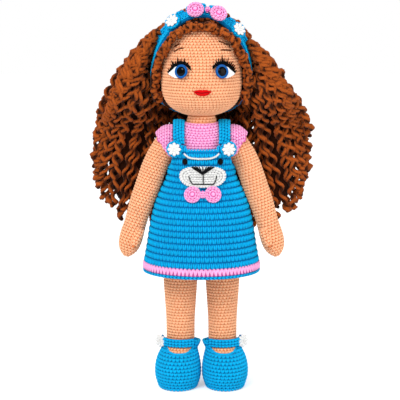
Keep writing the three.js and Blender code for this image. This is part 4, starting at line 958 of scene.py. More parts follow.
def wavering(line, size):
    """The line moved aside in slow waves, so that no lock is like its neighbour."""
    turn = np.linspace(0, chance.uniform(5, 9), len(line)) + chance.uniform(0, 6.28)
    size = size * np.linspace(0.2, 1, len(line))
    return line + np.stack([np.sin(turn), 0 * turn, np.cos(turn * 0.8)], -1) * size[:, None]


def short_curl(middle, radius, size):
    """Three quarters of a ring of yarn, turned at random."""
    over = chance.normal(size=3) * [0.8, 1.0, 0.8]
    first = unit(np.cross(over, chance.normal(size=3)))
    second = np.cross(unit(over), first)
    turn = np.linspace(0, math.radians(chance.uniform(230, 330)), 9)[:, None]
    out = first * np.cos(turn) + second * np.sin(turn)
    return tube_round(middle + out * radius, size, out, tint=chance.uniform(-1, 1))


def across_line(line):
    """Two directions across a line at each of its points."""
    ahead = unit_rows(np.gradient(line, axis=0))
    first = unit_rows(np.cross(ahead, (0.0, 1.0, 0.0)))
    return first, np.cross(ahead, first)


def winding_turns(line):
    return 2 * math.pi * np.arange(len(line)) / steps_per_turn


def corkscrew(line, depth=0.0):
    """One lock: yarn wound round a line, tightest at the root, with a thick end."""
    winding = curl_winding * chance.uniform(0.7, 1.2)
    pitch = curl_pitch * chance.uniform(0.85, 1.2)
    line = along_line(line, pitch / steps_per_turn)
    first, second = across_line(line)
    second = second * curl_flatness
    hand = 1 if chance.random() < 0.5 else -1
    wander = np.cumsum(chance.normal(0, 0.09, len(line)))
    wander[-len(knob) :] += np.arange(len(knob)) * end_tightening
    turn = (winding_turns(line) + wander) * hand + chance.uniform(0, 6.28)
    reach = winding * np.clip(np.linspace(0.35, 4.0, len(line)), 0, 1)
    out = first * np.cos(turn)[:, None] + second * np.sin(turn)[:, None]
    thickness = yarn_radius * chance.uniform(0.88, 1.0) * np.ones(len(line))
    thickness[-len(knob) :] *= knob
    # Each lock's own random tone, lowered by the depth as painted shade for locks that lie inside
    # the hair.
    tint = chance.uniform(-1, 1) - depth
    return tube_round(line + out * reach[:, None], thickness, out, tint=tint)

# %% [markdown]
# The line of a lock is drawn as it is seen from the front. Rays through the frame's
# mass of hair then say how far back each of its points can lie. Side locks start
# between the crown and the jaw: those from the crown arch widest and end highest,
# and those from the jaw hang nearly straight.

# %% The lines of the locks
def bezier(first, control, last, count=40):
    t = np.linspace(0, 1, count)[:, None]
    first, control, last = (np.array(p, float) for p in (first, control, last))
    return first * (1 - t) ** 2 + 2 * control * t * (1 - t) + last * t**2


hair_margin = 0.0045
usual_front, usual_room = 0.006, 0.026


def depth_in(tree, line, share):
    """Sets how far back each point of a line lies, as a share of the hair's depth there."""
    found = []
    for p, root in zip(line, np.clip(1 - np.linspace(0, 5, len(line)), 0, 1)):
        front = tree.ray_cast((p[0], -far_off, p[2]), (0, 1, 0))[0]
        back = tree.ray_cast((p[0], far_off, p[2]), (0, -1, 0))[0]
        if front is None or back is None or back.y - front.y < hair_margin:
            found.append(math.nan)
        else:
            room = max(0.0, back.y - front.y - 2 * hair_margin)
            here = share + root * 0.35 * (1 - share)
            found.append((front.y + back.y - room) / 2 + room * here)
    found = np.array(found)
    if not np.isfinite(found).any():
        found[:] = usual_front + usual_room * share
    good = np.flatnonzero(np.isfinite(found))
    made = line.copy()
    made[:, 1] = eased(np.interp(np.arange(len(line)), good, found[good]), 12)
    return made


tip_places = np.array(
    [
        [0.04, 0.147], [0.058, 0.146], [0.079, 0.153], [0.093, 0.171], [0.097, 0.196],
        [0.0945, 0.222], [0.088, 0.246], [0.075, 0.27], [0.059, 0.294],
    ]
)


lowest_root, root_span, root_across, root_rise = -38, 104, 0.041, 0.045
lock_sway, tip_jitter = 0.0024, 0.005


def side_line(spread, jitter):
    """The line of a side lock seen from the front, from the jaw's (0) to the crown's (1)."""
    angle = math.radians(lowest_root + root_span * spread**0.8 + jitter * 300)
    root = np.array([root_across * math.cos(angle), head_height + root_rise * math.sin(angle)])
    tip = read_line(spread * (len(tip_places) - 1), range(len(tip_places)), tip_places)
    tip = tip + np.array([0.6, 2.2 - 1.8 * spread]) * jitter
    share = np.array([0.6 - 0.12 * spread, 0.14 + 0.14 * (1 - spread)])
    control = root + (tip - root) * share
    return bezier((root[0], 0, root[1]), (control[0], 0, control[1]), (tip[0], 0, tip[1]))


def painted_shade_core(node, low, high, wide, deep):
    """Painted shade inside the hair: the frame's own mass, drawn in and painted in the darkest
    brown, so that the gaps between the locks look shaded.
    """
    rings = smooth_rows(measure_rounds(node, low, high, levels=26, columns=28), 2)
    middle = rings.mean(axis=1, keepdims=True)
    core = taken_apart(rolled_cloth(middle + (rings - middle) * (wide, deep, 1), True, sink=0))
    # Painted shade: no lift, and a tone far below that of the locks.
    core["tint"] = core["tint"] - 2.0
    return core

# %% [markdown]
# The side locks lie in layers: a full one in front, a full one behind, and thinner
# ones between. A layer has its depth as a share, its count of locks, and the place
# along the head where it begins. A few inner locks hang beside the neck.

# %% Side hair
side_layers = [(0.0, 26, 0.0), (1.0, 19, 0.0)] + [(k / 6, 10, 0.42) for k in range(1, 6)]
inner_locks = 8
for side, sign in both_sides:
    mass = tree_of(f"hair_{side}")
    core_low, core_high = (sign * 0.057, 0.012, 0.157), (sign * 0.056, 0.012, 0.27)
    locks = [painted_shade_core(f"hair_{side}", core_low, core_high, wide=0.6, deep=0.5)]
    for layer, (share, count, first) in enumerate(side_layers):
        for i in range(count):
            spread = first + (1 - first) * min(1.0, (i + 0.5 * (layer % 2)) / (count - 0.5))
            line = side_line(spread, chance.uniform(-tip_jitter, tip_jitter))
            line = wavering(line, lock_sway)
            if sign > 0:
                line[:, 0] -= np.clip(line[:, 2] - 0.26, 0, 0.05) * 0.12
            line[:, 0] *= sign
            line = depth_in(mass, line, share)
            # Locks between the front and back layers are painted darker: painted shade.
            locks.append(corkscrew(line, depth=share * (1 - share)))
    for i in range(inner_locks):
        tip_x = 0.034 + 0.0042 * i
        root = (sign * (0.026 + 0.001 * i), 0.016 - 0.001 * i, 0.327 - 0.004 * i)
        turn = (sign * (0.036 + 0.004 * i), 0.034, 0.305)
        tip = (sign * tip_x, 0.031 - 0.001 * i, 0.151 + chance.uniform(-0.002, 0.006))
        # Inner locks beside the neck are painted darker: painted shade.
        locks.append(corkscrew(bezier(root, turn, tip), depth=0.3))
        tip = (sign * tip_x, 0.016, 0.156 + chance.uniform(-0.002, 0.006))
        locks.append(corkscrew(bezier((sign * 0.038, 0.008, 0.27), turn, tip)[12:], depth=0.6))
    piece = soft_piece(f"curly_hair_{side}", locks, hair_yarn, f"hair_{side}")
    print(piece.name, "faces", len(piece.data.polygons))

# %% [markdown]
# The back locks leave the cap in four tiers, the lowest tier closest to the neck.
# Short curls stand along the top, behind the headband.

# %% Back hair
mass = tree_of("hair_back")
locks = [painted_shade_core("hair_back", (0, 0.03, 0.15), (0, 0.024, 0.312), wide=0.95, deep=0.5)]
tiers = ((0.95, 0.334, 0.016), (0.6, 0.325, 0.03), (0.35, 0.30, 0.036), (0.1, 0.272, 0.036))
tier_locks, top_curls, top_spread = 16, 44, 62
for tier, (share, root_height, root_half) in enumerate(tiers):
    for i in range(tier_locks):
        across = (i - 7.5 + 0.5 * (tier % 2)) / 7.8
        root = (across * root_half, 0, root_height - 0.01 * across**2)
        tip = (across * 0.037, 0, 0.147 + chance.uniform(-0.002, 0.012))
        control = (across * 0.04, 0, root_height - 0.02)
        line = depth_in(mass, wavering(bezier(root, control, tip), 0.002), share)
        # Locks nearer the head are painted darker: painted shade.
        locks.append(corkscrew(line, depth=0.3 * (1 - share)))
for i in range(top_curls):
    turn = math.radians(90 + top_spread * (i - 21.5) / 22)
    reach = 0.0475 + chance.uniform(-0.001, 0.0015)
    x, y, rise = reach * math.cos(turn), chance.uniform(0.004, 0.014), reach * math.sin(turn)
    place = np.array((x, y, head_middle.z + rise))
    locks.append(short_curl(place, chance.uniform(0.0022, 0.0032), yarn_radius * 0.9))
piece = soft_piece("curly_hair_back", locks, hair_yarn, "hair_back")
print(piece.name, "faces", len(piece.data.polygons))

# %% [markdown]
# The wig cap is crocheted in the hair's own yarn. The fringe round the face is made
# of short curls, each of them most of a ring of yarn, over a dark cord that is painted
# shade under the curls.

# %% Wig cap and fringe
cap_stitch = single_crochet(0.0055, 0.0046, 1.7)
cap_rings = measure_cones("hair_cap", head_middle, -70, 89, levels=48, columns=48)
cap_grid = spaced_rows(smooth_rows(cap_rings, 1), cap_stitch["height"])
worked_sheet(
    "crocheted_cap", "hair_cap", cap_grid, cap_stitch, hair_yarn,
    flat=(0.2, 0.1),
)


def middle_line(tree, first_degree, last_degree, count, low, high):
    """The middle line of a strip that runs over the head, seen from the front."""
    line = []
    for i in range(count):
        angle = math.radians(first_degree + (last_degree - first_degree) * i / (count - 1))
        way = Vector((math.cos(angle), 0, math.sin(angle)))
        places = [Vector((0, y, head_middle.z)) for y in np.arange(low, high, 0.0008)]
        hits = np.array([touch(tree, place, way) for place in places])
        hits = hits[np.isfinite(hits[:, 0])]
        if len(hits):
            reach = np.hypot(hits[:, 0], hits[:, 2] - head_middle.z).max()
            y = (hits[:, 1].min() + hits[:, 1].max()) / 2
            line.append((way.x * reach, y, head_middle.z + way.z * reach))
    return eased(np.array(line), 6)


fringe_line = middle_line(tree_of("hair_fringe"), -44, 224, count=90, low=-0.036, high=-0.004)
print("fringe from", fringe_line[0].round(4), "over", fringe_line[45].round(4))
outward = unit_rows(fringe_line - np.array([0, middle_y, head_middle.z]))
under_sink, under_radius, over_brow = 0.0012, 0.0026, 0.312
# Painted shade: the cord under the curls is lowered in tone and in lift.
under = tube_round(fringe_line - outward * under_sink, under_radius, outward, tint=-2.0)
under["lift"] = under["lift"] * 0.3
curls = [under]
fringe_count = 210
for i in range(fringe_count):
    at = min(len(fringe_line) - 1, int(i / fringe_count * len(fringe_line)))
    turn, far = chance.uniform(0, 6.28), math.sqrt(chance.random())
    low_down = fringe_line[at, 2] < over_brow
    reach = -0.0022 + 0.0028 * math.cos(turn) * far - 0.0013 * low_down
    forward = np.array([0, -0.0016 + 0.005 * math.sin(turn) * far, 0])
    place = fringe_line[at] + outward[at] * reach + forward
    radius, size = chance.uniform(0.0013, 0.0021), chance.uniform(0.0015, 0.0019)
    curls.append(short_curl(place, radius, size))
fringe = soft_piece("curly_fringe", curls, hair_yarn, "hair_fringe")
print("fringe faces", len(fringe.data.polygons))

# %% [markdown]
# ## Thumbs, straps and headband
# Each thumb is a small stuffed tube of its own, sewn to the palm. It is so small that
# its rounds are laid on rings worked out here, round the line between its two ends.

# %% Thumbs
def tube_rings(first, last, radius, swell):
    """Rings round a straight line, with a share of the radius for each ring."""
    first, last = np.array(first, float), np.array(last, float)
    ahead = unit(last - first)
    side = unit(np.cross(ahead, (0, 1, 0)))
    over = np.cross(ahead, side)
    turns = turns_round(20)
    ring = np.cos(turns)[:, None] * side + np.sin(turns)[:, None] * over
    at = np.linspace(0, 1, len(swell))
    return np.array([first + (last - first) * t + ring * radius * s for t, s in zip(at, swell)])


thumb_radius = 0.0036
thumb_swell = [0.75, 1, 1, 1, 1, 1, 0.97, 0.85, 0.55, 0.1]
for side, sign in both_sides:
    node = f"{side}_thumb"
    low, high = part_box(node)
    root = (sign * 0.0545, high.y - 0.003, high.z - 0.003)
    tip = (sign * 0.0615, low.y + thumb_radius, low.z + 0.0006)
    rings = tube_rings(root, tip, thumb_radius, thumb_swell)
    grid = spaced_rows(rings, small_stitch["height"])
    thumb = stuffed(
        f"crocheted_{node}", grid, small_stitch, skin_yarn, node, f"{side}_arm"
    )
print("thumb faces", len(thumb.data.polygons))

# %% [markdown]
# The straps of the dress are worked lengthwise, so their rows run from the bib over
# the shoulder to the back. Rays from inside the shoulder find each strap's surface.

# %% Dress straps
def strap_grid(tree, middle, degrees, places, columns):
    """Rows along a strap, found by rays in upright planes that lie side by side."""
    found = []
    for degree in degrees:
        turn = math.radians(degree)
        way = Vector((0, -math.cos(turn), math.sin(turn)))
        hits = [touch(tree, Vector((x, *middle)), way) for x in places]
        hits = np.array([h for h in hits if not math.isnan(h[0])])
        if len(hits) < 4:
            continue
        found.append(read_line(np.linspace(0, 1, columns), np.linspace(0, 1, len(hits)), hits))
    return eased(np.array(found), 4).transpose(1, 0, 2)


strap_rows, strap_width, strap_length, strap_cloth = 4, 0.0106, 0.098, 0.0016
in_shoulder = (middle_y, 0.207)
for side, sign in both_sides:
    node = f"{side}_dress_strap"
    low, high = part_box(node)
    edges = (high.x, low.x)[::sign]
    places, degrees = np.linspace(*edges, 60), np.linspace(-8, 192, 60)
    grid = strap_grid(tree_of(node), in_shoulder, degrees, places, strap_rows + 1)[::sign]
    worked_sheet(
        f"crocheted_{node}", node, grid, small_stitch, blue_yarn,
        flat=(strap_width, strap_length),
        closed=False, thickness=strap_cloth,
        lean=0,
    )

# %% [markdown]
# The shoe straps run round the front of the ankle, from a loop at the inner side to
# the flower at the outer side. They swing with their own bodies.

# %% Shoe straps
ankle_across, ankle_reach, strap_inset = 0.0191, 0.03, 0.0002
loop_stitch, loop_radius = single_crochet(0.0024, 0.0021, 0.75), 0.0021
loop_swell = [0.3, 0.85, 1, 1, 1, 1, 0.85, 0.3]


def ankle_grid(node, sign, degrees, low, high, rows):
    """Level rows on a strap round the ankle, at these degrees from its outer side."""
    tree = tree_of(node)
    grid = []
    for z in np.linspace(low + strap_inset, high - strap_inset, rows + 1):
        middle = Vector((sign * ankle_across, middle_y, z))
        turns = [math.radians(degree) for degree in degrees]
        ways = [Vector((sign * math.cos(t), -math.sin(t), 0)) for t in turns]
        grid.append([touch(tree, middle, way, ankle_reach) for way in ways])
    grid = np.array(grid)
    return grid[:, np.isfinite(grid).all(axis=(0, 2))]


for side, sign in both_sides:
    node = f"{side}_shoe_strap"
    low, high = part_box(node)
    grid = ankle_grid(node, sign, np.linspace(133, -6, 56)[::sign], low.z, high.z, rows=3)
    worked_sheet(
        f"crocheted_{node}", node, grid, small_stitch, blue_yarn,
        closed=False, thickness=strap_cloth, lean=0, body=node,
    )
    loop_foot = (sign * 0.0062, -0.0163)
    rings = tube_rings((*loop_foot, low.z), (*loop_foot, high.z), loop_radius, loop_swell)
    loop_grid = spaced_rows(rings, loop_stitch["height"])
    stuffed(f"crocheted_{side}_strap_loop", loop_grid, loop_stitch, blue_yarn, None, node)

# %% [markdown]
# The headband is a ribbed strip that runs from the crown down behind the jaw and
# round the nape. Its front edge is found with rays, and its rows are laid from there
# backward, each at the same height over the head.

# %% Headband
band_width, band_lift, band_rows = 0.0125, 0.0088, 5
head_tree = tree_of("head")


def over_head(points, lift):
    """Moves points to a height over the head, along the line from its middle."""
    made = np.empty_like(points)
    for i, p in enumerate(points.reshape(-1, 3)):
        way = (Vector(p) - head_middle).normalized()
        made.reshape(-1, 3)[i] = Vector(touch(head_tree, head_middle, way)) + way * lift
    return made


def front_edge(tree, count, low, high):
    """The foremost points of a loop round the head, seen from the front."""
    line = []
    for turn in turns_round(count):
        way = Vector((math.cos(turn), 0, math.sin(turn)))
        for y in np.arange(low, high, 0.0006):
            place = touch(tree, Vector((0, y, head_middle.z)), way)
            if not math.isnan(place[0]):
                line.append(place)
                break
    return eased(np.array(line), 8, closed=True)


band_front = front_edge(tree_of("headband"), 120, low=-0.035, high=0.035)
out = unit_rows(band_front - np.array(head_middle))
along = np.roll(band_front, -1, 0) - np.roll(band_front, 1, 0)
backward = unit_rows(np.cross(out, along))
backward *= np.sign((backward[:, 1].mean()))
shares = [1 - r / band_rows for r in range(band_rows + 1)]
band_lines = [band_front + backward * band_width * share for share in shares]
band_grid = np.array([over_head(line, band_lift) for line in band_lines])
worked_sheet(
    "crocheted_headband", "headband", band_grid, single_crochet(0.003, 0.0025), blue_yarn,
    flat=(band_width, 0.30), thickness=0.003,
    lean=0,
)

# %% [markdown]
# ## Small crocheted pieces
# Discs, rosettes and bobbles are worked in rounds too. Each kind is made once, lying
# flat at the origin, and copies of it are carried to their places. A place is read
# from the frame: a flat piece lies across the direction in which it is thinnest.

# %% Turned pieces and their places
def turned_rounds(profile, stitch):
    """Rounds of crochet on a profile of radius and height turned round the upright axis."""
    profile = along_line(np.array([[r, 0, z] for r, z in profile]), 0.0003)
    ways = [(math.cos(t), math.sin(t)) for t in turns_round(28)]
    grid = np.array([[(r * x, r * y, z) for x, y in ways] for r, _, z in profile])
    grid = spaced_rows(grid, stitch["height"])
    base = taken_apart(rolled_cloth(grid, True, sink=0.0004))
    return [base, lay_stitches(grid, stitch)]


def moved(parts, axes, place):
    axes, place = np.array(axes), np.array(place)
    return [{**part, "points": part["points"] @ axes + place} for part in parts]


def lie_of(node, away_from):
    """Axes and foot of a flat piece of the frame."""
    corners = np.array([v.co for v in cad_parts[node].data.vertices])
    _, _, ways = np.linalg.svd(corners - corners.mean(0), full_matrices=False)
    out = ways[2]
    if out @ (corners.mean(0) - np.array(away_from)) < 0:
        out = -out
    first = unit(np.cross((0, 0, 1), out))
    axes = np.array([first, np.cross(out, first), out])
    spans = corners @ axes.T
    low, high = spans.min(0), spans.max(0)
    foot = axes.T @ np.array([(low[0] + high[0]) / 2, (low[1] + high[1]) / 2, low[2]])
    return {"axes": axes, "foot": foot}


def facing_front(lie, share, lift=0.0, forward=0.0):
    """The same place, with the outer side turned a share of the way to the front."""
    whole = Vector(lie["axes"][2]).rotation_difference(Vector((0, -0.99, 0.1)))
    turn = Quaternion().slerp(whole, share).to_matrix()
    axes = np.array([turn @ Vector(a) for a in lie["axes"]])
    return {"axes": axes, "foot": lie["foot"] + lie["axes"][2] * lift - [0, forward, 0]}

# %% [markdown]
# The bear's ears on the bib and the discs on the headband are the same round disc.
# On the headband they are turned a little to the front, as in the photo.

# %% Discs
fine_stitch = single_crochet(0.0026, 0.0023, 0.85)
disc_profile = [
    (0.0062, 0), (0.0074, 0.0007), (0.0074, 0.0013), (0.0064, 0.0019), (0.0003, 0.0019),
]
disc_turn, disc_lift, disc_forward = 0.42, 0.0009, 0.0012
disc_parts = turned_rounds(disc_profile, fine_stitch)
band_disc_feet = {}
discs = {"left_bear_ear": 0, "right_bear_ear": 0, "band_disc_left": 1, "band_disc_right": 1}
for node, on_head in discs.items():
    lie = lie_of(node, head_middle if on_head else chest_middle)
    if on_head:
        print(node, "sits at", lie["foot"].round(4), "facing", lie["axes"][2].round(2))
        lie = facing_front(lie, disc_turn, disc_lift, disc_forward)
        band_disc_feet[node.split("_")[-1]] = lie["foot"]
    soft_piece(f"crocheted_{node}", moved(disc_parts, lie["axes"], lie["foot"]), blue_yarn, node)
print("disc faces", sum(len(p["faces"]) for p in disc_parts))

# %% [markdown]
# A rosette is a strip of crochet rolled up: its rim stands up, then comes a valley,
# and its middle stands up again. Two of them and a knot make a bow.

# %% Bows
def rosette_profile(radius, thick):
    shares = ((0.8, 0), (0.97, 0.3), (0.97, 0.6), (0.84, 0.93), (0.7, 0.8), (0.56, 0.5))
    shares += ((0.38, 0.58), (0.2, 0.85), (0.03, 0.9))
    return [(r * radius, z * thick) for r, z in shares]


def ball_profile(radius, flat=1.0):
    turns = [math.pi * i / 10 - math.pi / 2 for i in range(11)]
    return [(max(0.0002, radius * math.cos(t)), radius * flat * math.sin(t)) for t in turns]


def button(radius, height):
    points = ball_points * [radius, radius, radius * 0.6] + [0, 0, height]
    # Painted light: the button is painted lighter on top and in painted shade below.
    lift = 0.5 + 0.4 * ball_points[:, 2]
    return {"points": points, "faces": ball_faces, "lift": lift, "tint": np.zeros(len(points))}


rosette_parts = {}
for where, radius, thick in (("dress", 0.0075, 0.0034), ("band", 0.0076, 0.0042)):
    rounds = turned_rounds(rosette_profile(radius, thick), fine_stitch)
    rosette_parts[where] = [*rounds, button(0.0021, thick * 0.86)]
knot_half, dress_bow_behind = 0.0019, (0, middle_y, 0.18)
knot_rounds = turned_rounds(ball_profile(0.0021, 1.9), single_crochet(0.0022, 0.0018, 0.7))
knot_parts = moved(knot_rounds, [[1, 0, 0], [0, 0, 1], [0, 1, 0]], (0, 0, knot_half))
for where, middle in (("dress", dress_bow_behind), ("band", head_middle)):
    rosette_feet = []
    for side in ("left", "right"):
        node = f"{where}_bow_{side}"
        lie = lie_of(node, middle)
        rosette_feet.append(Vector(lie["foot"]))
        if where == "band":
            lie = facing_front(lie, 0.45, 0.001, 0.002)
        parts = moved(rosette_parts[where], lie["axes"], lie["foot"])
        soft_piece(f"crocheted_{node}", parts, pink_yarn, node)
    node = f"{where}_bow_knot"
    low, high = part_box(node)
    centre = (low + high) / 2
    out = (centre - Vector(middle)).normalized()
    if where == "dress":
        out = Vector((0, -1, 0.1)).normalized()
    beside = (rosette_feet[0] - rosette_feet[1]).normalized()
    up = out.cross(beside).normalized()
    axes = [beside, up, beside.cross(up)]
    foot = centre - axes[2] * knot_half
    soft_piece(f"crocheted_{node}", moved(knot_parts, axes, foot), pink_yarn, node)

# %% [markdown]
# A flower has eight puffed petals round a small button. One petal is three strands
# that lie side by side and meet at the middle.

# %% Flowers
round_points, round_faces = ball_of(2)


def pulled_ball(begin, end, half_width, half_thick):
    """A ball pulled long between two points, standing on the plane under it."""
    begin, end = np.array(begin, float), np.array(end, float)
    ahead = (end - begin) / 2
    half = np.linalg.norm(ahead)
    ahead = ahead / half
    beside = unit(np.cross((0, 0, 1), ahead))
    over = np.cross(ahead, beside)
    points = (
        (begin + end) / 2
        + round_points[:, :1] * half * 1.1 * ahead
        + round_points[:, 1:2] * half_width * beside
        + round_points[:, 2:] * half_thick * over
    )
    # Painted light: lighter on top of the ball, in painted shade underneath.
    lift = 0.5 + 0.5 * round_points[:, 2]
    return {"points": points, "faces": round_faces, "lift": lift, "tint": np.zeros(len(points))}


def flower_parts(radius, petals):
    """A round ground, three strands for each petal, and five for the button."""
    reach = radius * 0.6
    parts = [pulled_ball((-reach, 0, 0.0006), (reach, 0, 0.0006), radius * 0.66, 0.0008)]
    for i in range(petals):
        middle = 2 * math.pi * i / petals
        for turn, reach in ((-0.2, 0.9), (0.2, 0.9), (0, 1.0)):
            a = middle + turn
            way = np.array([math.cos(a), math.sin(a), 0])
            start = np.array([math.cos(middle), math.sin(middle), 0]) * radius * 0.3
            begin = start + [0, 0, 0.0008]
            end = way * radius * reach * 0.93 + [0, 0, 0.0011]
            parts.append(pulled_ball(begin, end, 0.00085, 0.0007 if turn else 0.0009))
    for i in range(5):
        a = 2 * math.pi * i / 5
        way = np.array([math.cos(a), math.sin(a), 0]) * radius * 0.2
        begin = way + np.cross(way, (0, 0, 0.6)) + [0, 0, 0.0016]
        end = way - np.cross(way, (0, 0, 0.6)) + [0, 0, 0.0016]
        parts.append(pulled_ball(begin, end, 0.0006, 0.0006))
    return parts


petal_parts = flower_parts(radius=0.0066, petals=8)
strap_height, flower_over_disc = 0.0406, 0.002
flowers = {
    "left_ear_flower": (chest_middle, "root"),
    "right_ear_flower": (chest_middle, "root"),
    "band_flower_left": (head_middle, "root"),
    "band_flower_right": (head_middle, "root"),
    "left_shoe_flower": ((ankle_across, middle_y, strap_height), "left_shoe_strap"),
    "right_shoe_flower": ((-ankle_across, middle_y, strap_height), "right_shoe_strap"),
}
for node, (middle, body) in flowers.items():
    lie = lie_of(node, middle)
    if node.startswith("band"):
        disc = facing_front(lie_of(node.replace("flower", "disc"), head_middle), disc_turn)
        lie = facing_front(lie, disc_turn)
        lie["foot"] = band_disc_feet[node.split("_")[-1]] + disc["axes"][2] * flower_over_disc
    if "shoe" in node:
        lie = facing_front(lie, 0.5, 0, 0.002)
    parts = moved(petal_parts, lie["axes"], lie["foot"])
    soft_piece(f"crocheted_{node}", parts, white_yarn, node, body)
print("flower faces", sum(len(p["faces"]) for p in petal_parts))

# %% [markdown]
# The bobbles stand in a row behind the band, a little under its outer face. They
# are counted off along the band from the crown to both sides.

# %% Bobbles
bobble_count, bobble_step, before_crown = 11, 0.0098, 30
bobble_parts = turned_rounds(ball_profile(0.004), single_crochet(0.0025, 0.0021, 0.85))
bobble_back, bobble_lift = 0.0069, 0.0087
bobble_line = over_head(band_front + backward * (band_width / 2 + bobble_back), bobble_lift)
first = len(bobble_line) // 4
run_line = np.roll(bobble_line, before_crown - first, 0)
run = run_of(run_line)
crown = run[before_crown]
parts = []
for i in range(bobble_count):
    at = crown + (i - (bobble_count - 1) / 2) * bobble_step
    place = read_line(at, run, run_line)
    out = unit(place - np.array(head_middle))
    side = unit(np.cross(out, (0, 1, 0)))
    parts += moved(bobble_parts, [side, np.cross(out, side), out], place)
soft_piece("crocheted_bobbles", parts, blue_yarn, None)
print("bobble faces", sum(len(p["faces"]) for p in parts))

# %% [markdown]
# ## The doll's face
# The eyes are safety eyes of glossy plastic: a blue disc with a raised rim and a
# groove, on a post that goes through the cloth, and a domed black pupil. Both are
# turned shapes, so each starts as a circle that is extruded and resized step by step.

# %% Glossy plastic
def plastic(slot, inner, outer, roughness):
    material, tree, shader = new_material(f"{slot}_moulded", roughness, slot)
    rim = own_number(tree, "rim")
    grain = noise(tree, place_on(tree), scale=900.0, detail=2.0)
    plug(tree, blend_colour(tree, rim, linear(inner), linear(outer)), shader, "Base Color")
    plug(tree, grain * 0.08 + (roughness - 0.03), shader, "Roughness")
    constants(shader, {"Specular IOR Level": 0.15})
    return material


iris_plastic = plastic("iris_plastic", "0763b4", "043a78", 0.25)
pupil_plastic = plastic("pupil_plastic", "030304", "010102", 0.06)
washer_plastic = plastic("washer_plastic", "e4e4e0", "d6d6d2", 0.4)

# %% Eyes
def turned_by_hand(name, profile):
    """A circle extruded along Z through pairs of radius and height."""
    radius, height = profile[0]
    bpy.ops.object.select_all(action="DESELECT")
    bpy.ops.mesh.primitive_circle_add(
        vertices=40, radius=radius, fill_type="NGON", location=(0, 0, height)
    )
    piece = bpy.context.object
    piece.name = piece.data.name = name
    bpy.ops.object.transform_apply(location=True)
    bpy.ops.object.mode_set(mode="EDIT")
    for next_radius, next_height in profile[1:]:
        bpy.ops.mesh.extrude_region_move(
            TRANSFORM_OT_translate={"value": (0, 0, next_height - height)}
        )
        share = next_radius / radius
        bpy.ops.transform.resize(value=(share, share, 1), center_override=(0, 0, next_height))
        radius, height = next_radius, next_height
    bpy.ops.mesh.select_all(action="SELECT")
    bpy.ops.mesh.normals_make_consistent(inside=False)
    bpy.ops.object.mode_set(mode="OBJECT")
    bpy.ops.object.shade_smooth_by_angle(angle=math.radians(50))
    widest = max(r for r, _ in profile)
    reach = [min(1.0, math.hypot(v.co.x, v.co.y) / widest) ** 6 for v in piece.data.vertices]
    piece.data.attributes.new("rim", "FLOAT", "POINT").data.foreach_set("value", reach)
    return piece


def carried(piece, lie):
    axes = Matrix([tuple(a) for a in lie["axes"]]).transposed().to_4x4()
    piece.data.transform(Matrix.Translation(Vector(lie["foot"])) @ axes)


iris_profile = [
    (0.0019, -0.0102), (0.002, -0.0098), (0.002, -0.00135), (0.0056, -0.00135), (0.006, -0.001),
    (0.0062, -0.0005), (0.0061, 0.0), (0.0058, 0.00025), (0.0054, 0.0003), (0.0051, 0.0001),
    (0.0047, -0.0001), (0.0043, 0.00005), (0.0042, -0.0001),
]
pupil_profile = [
    (0.0041, 0.0), (0.0041, 0.0004), (0.0038, 0.0008), (0.0033, 0.00115), (0.0026, 0.0014),
    (0.0018, 0.00155), (0.0009, 0.00163), (0.0002, 0.00165),
]
eye_parts = {"iris": (iris_profile, iris_plastic), "pupil": (pupil_profile, pupil_plastic)}
for side, sign in both_sides:
    lie = lie_of(f"{side}_eye_pupil", head_middle)
    for part, (profile, material) in eye_parts.items():
        piece = turned_by_hand(f"turned_{side}_{part}", profile)
        carried(piece, lie)
        piece.data.materials.append(material)
        enter(piece, f"{side}_eye_{part}")
print(piece.name, "faces", len(piece.data.polygons))

# %% [markdown]
# Felt has no threads: it is a mat of short fibres, so its material is a fine noise
# without direction.

# %% Felt
def felt(slot, light, dark, sheen=0.3):
    material, tree, shader = new_material(f"{slot}_cut", 0.95, slot)
    place = place_on(tree)
    fibres = noise(tree, place, scale=1300.0, detail=6.0, roughness=0.75)
    patches = noise(tree, place, scale=260.0, detail=2.0)
    share = fibres * 0.7 + patches * 0.5 - 0.1
    plug(tree, blend_colour(tree, share, linear(dark), linear(light)), shader, "Base Color")
    plug(tree, 0.85 + fibres * 0.12, shader, "Roughness")
    plug(tree, bump_of(tree, fibres, 0.6, 0.0003), shader, "Normal")
    constants(shader, {"Sheen Weight": sheen, "Specular IOR Level": 0.1 + sheen})
    return material


red_felt = felt("red_felt", "e4040c", "ac0004", sheen=0.02)
white_felt = felt("white_felt", "fbfbfa", "e6e6e8")
black_felt = felt("black_felt", "08080a", "030304", sheen=0.0)

# %% [markdown]
# The outline of a felt piece is searched for by halving, in each direction from its
# middle, and rings of points inside the outline make its sheet.

# %% Felt pieces
def front_hit(tree, x, z):
    place = tree.ray_cast((x, -far_off, z), (0, 1, 0))[0]
    return NOWHERE if place is None else tuple(place)


def toward_front(count):
    return np.tile((0.0, -1.0, 0.0), (count, 1))


def outline_reach(tree, centre, reach, columns):
    """How far a piece reaches from its middle in each direction, seen from the front."""
    found = []
    for turn in turns_round(columns):
        inside, outside = 0.0, reach
        for _ in range(12):
            half = (inside + outside) / 2
            x, z = centre[0] + math.cos(turn) * half, centre[1] + math.sin(turn) * half
            if math.isnan(front_hit(tree, x, z)[0]):
                outside = half
            else:
                inside = half
        found.append(inside)
    return np.array(found)


def front_patch(node, centre, shares):
    """Rings of points on the front of a piece, from its outline to its middle."""
    tree = tree_of(node)
    low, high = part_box(node)
    reach = outline_reach(tree, centre, max(high.x - low.x, high.z - low.z), 48)
    turns = turns_round(48)
    rows = []
    for share in shares:
        x = centre[0] + np.cos(turns) * reach * share
        z = centre[1] + np.sin(turns) * reach * share
        rows.append([front_hit(tree, *p) for p in zip(x, z)])
    return np.array(rows)


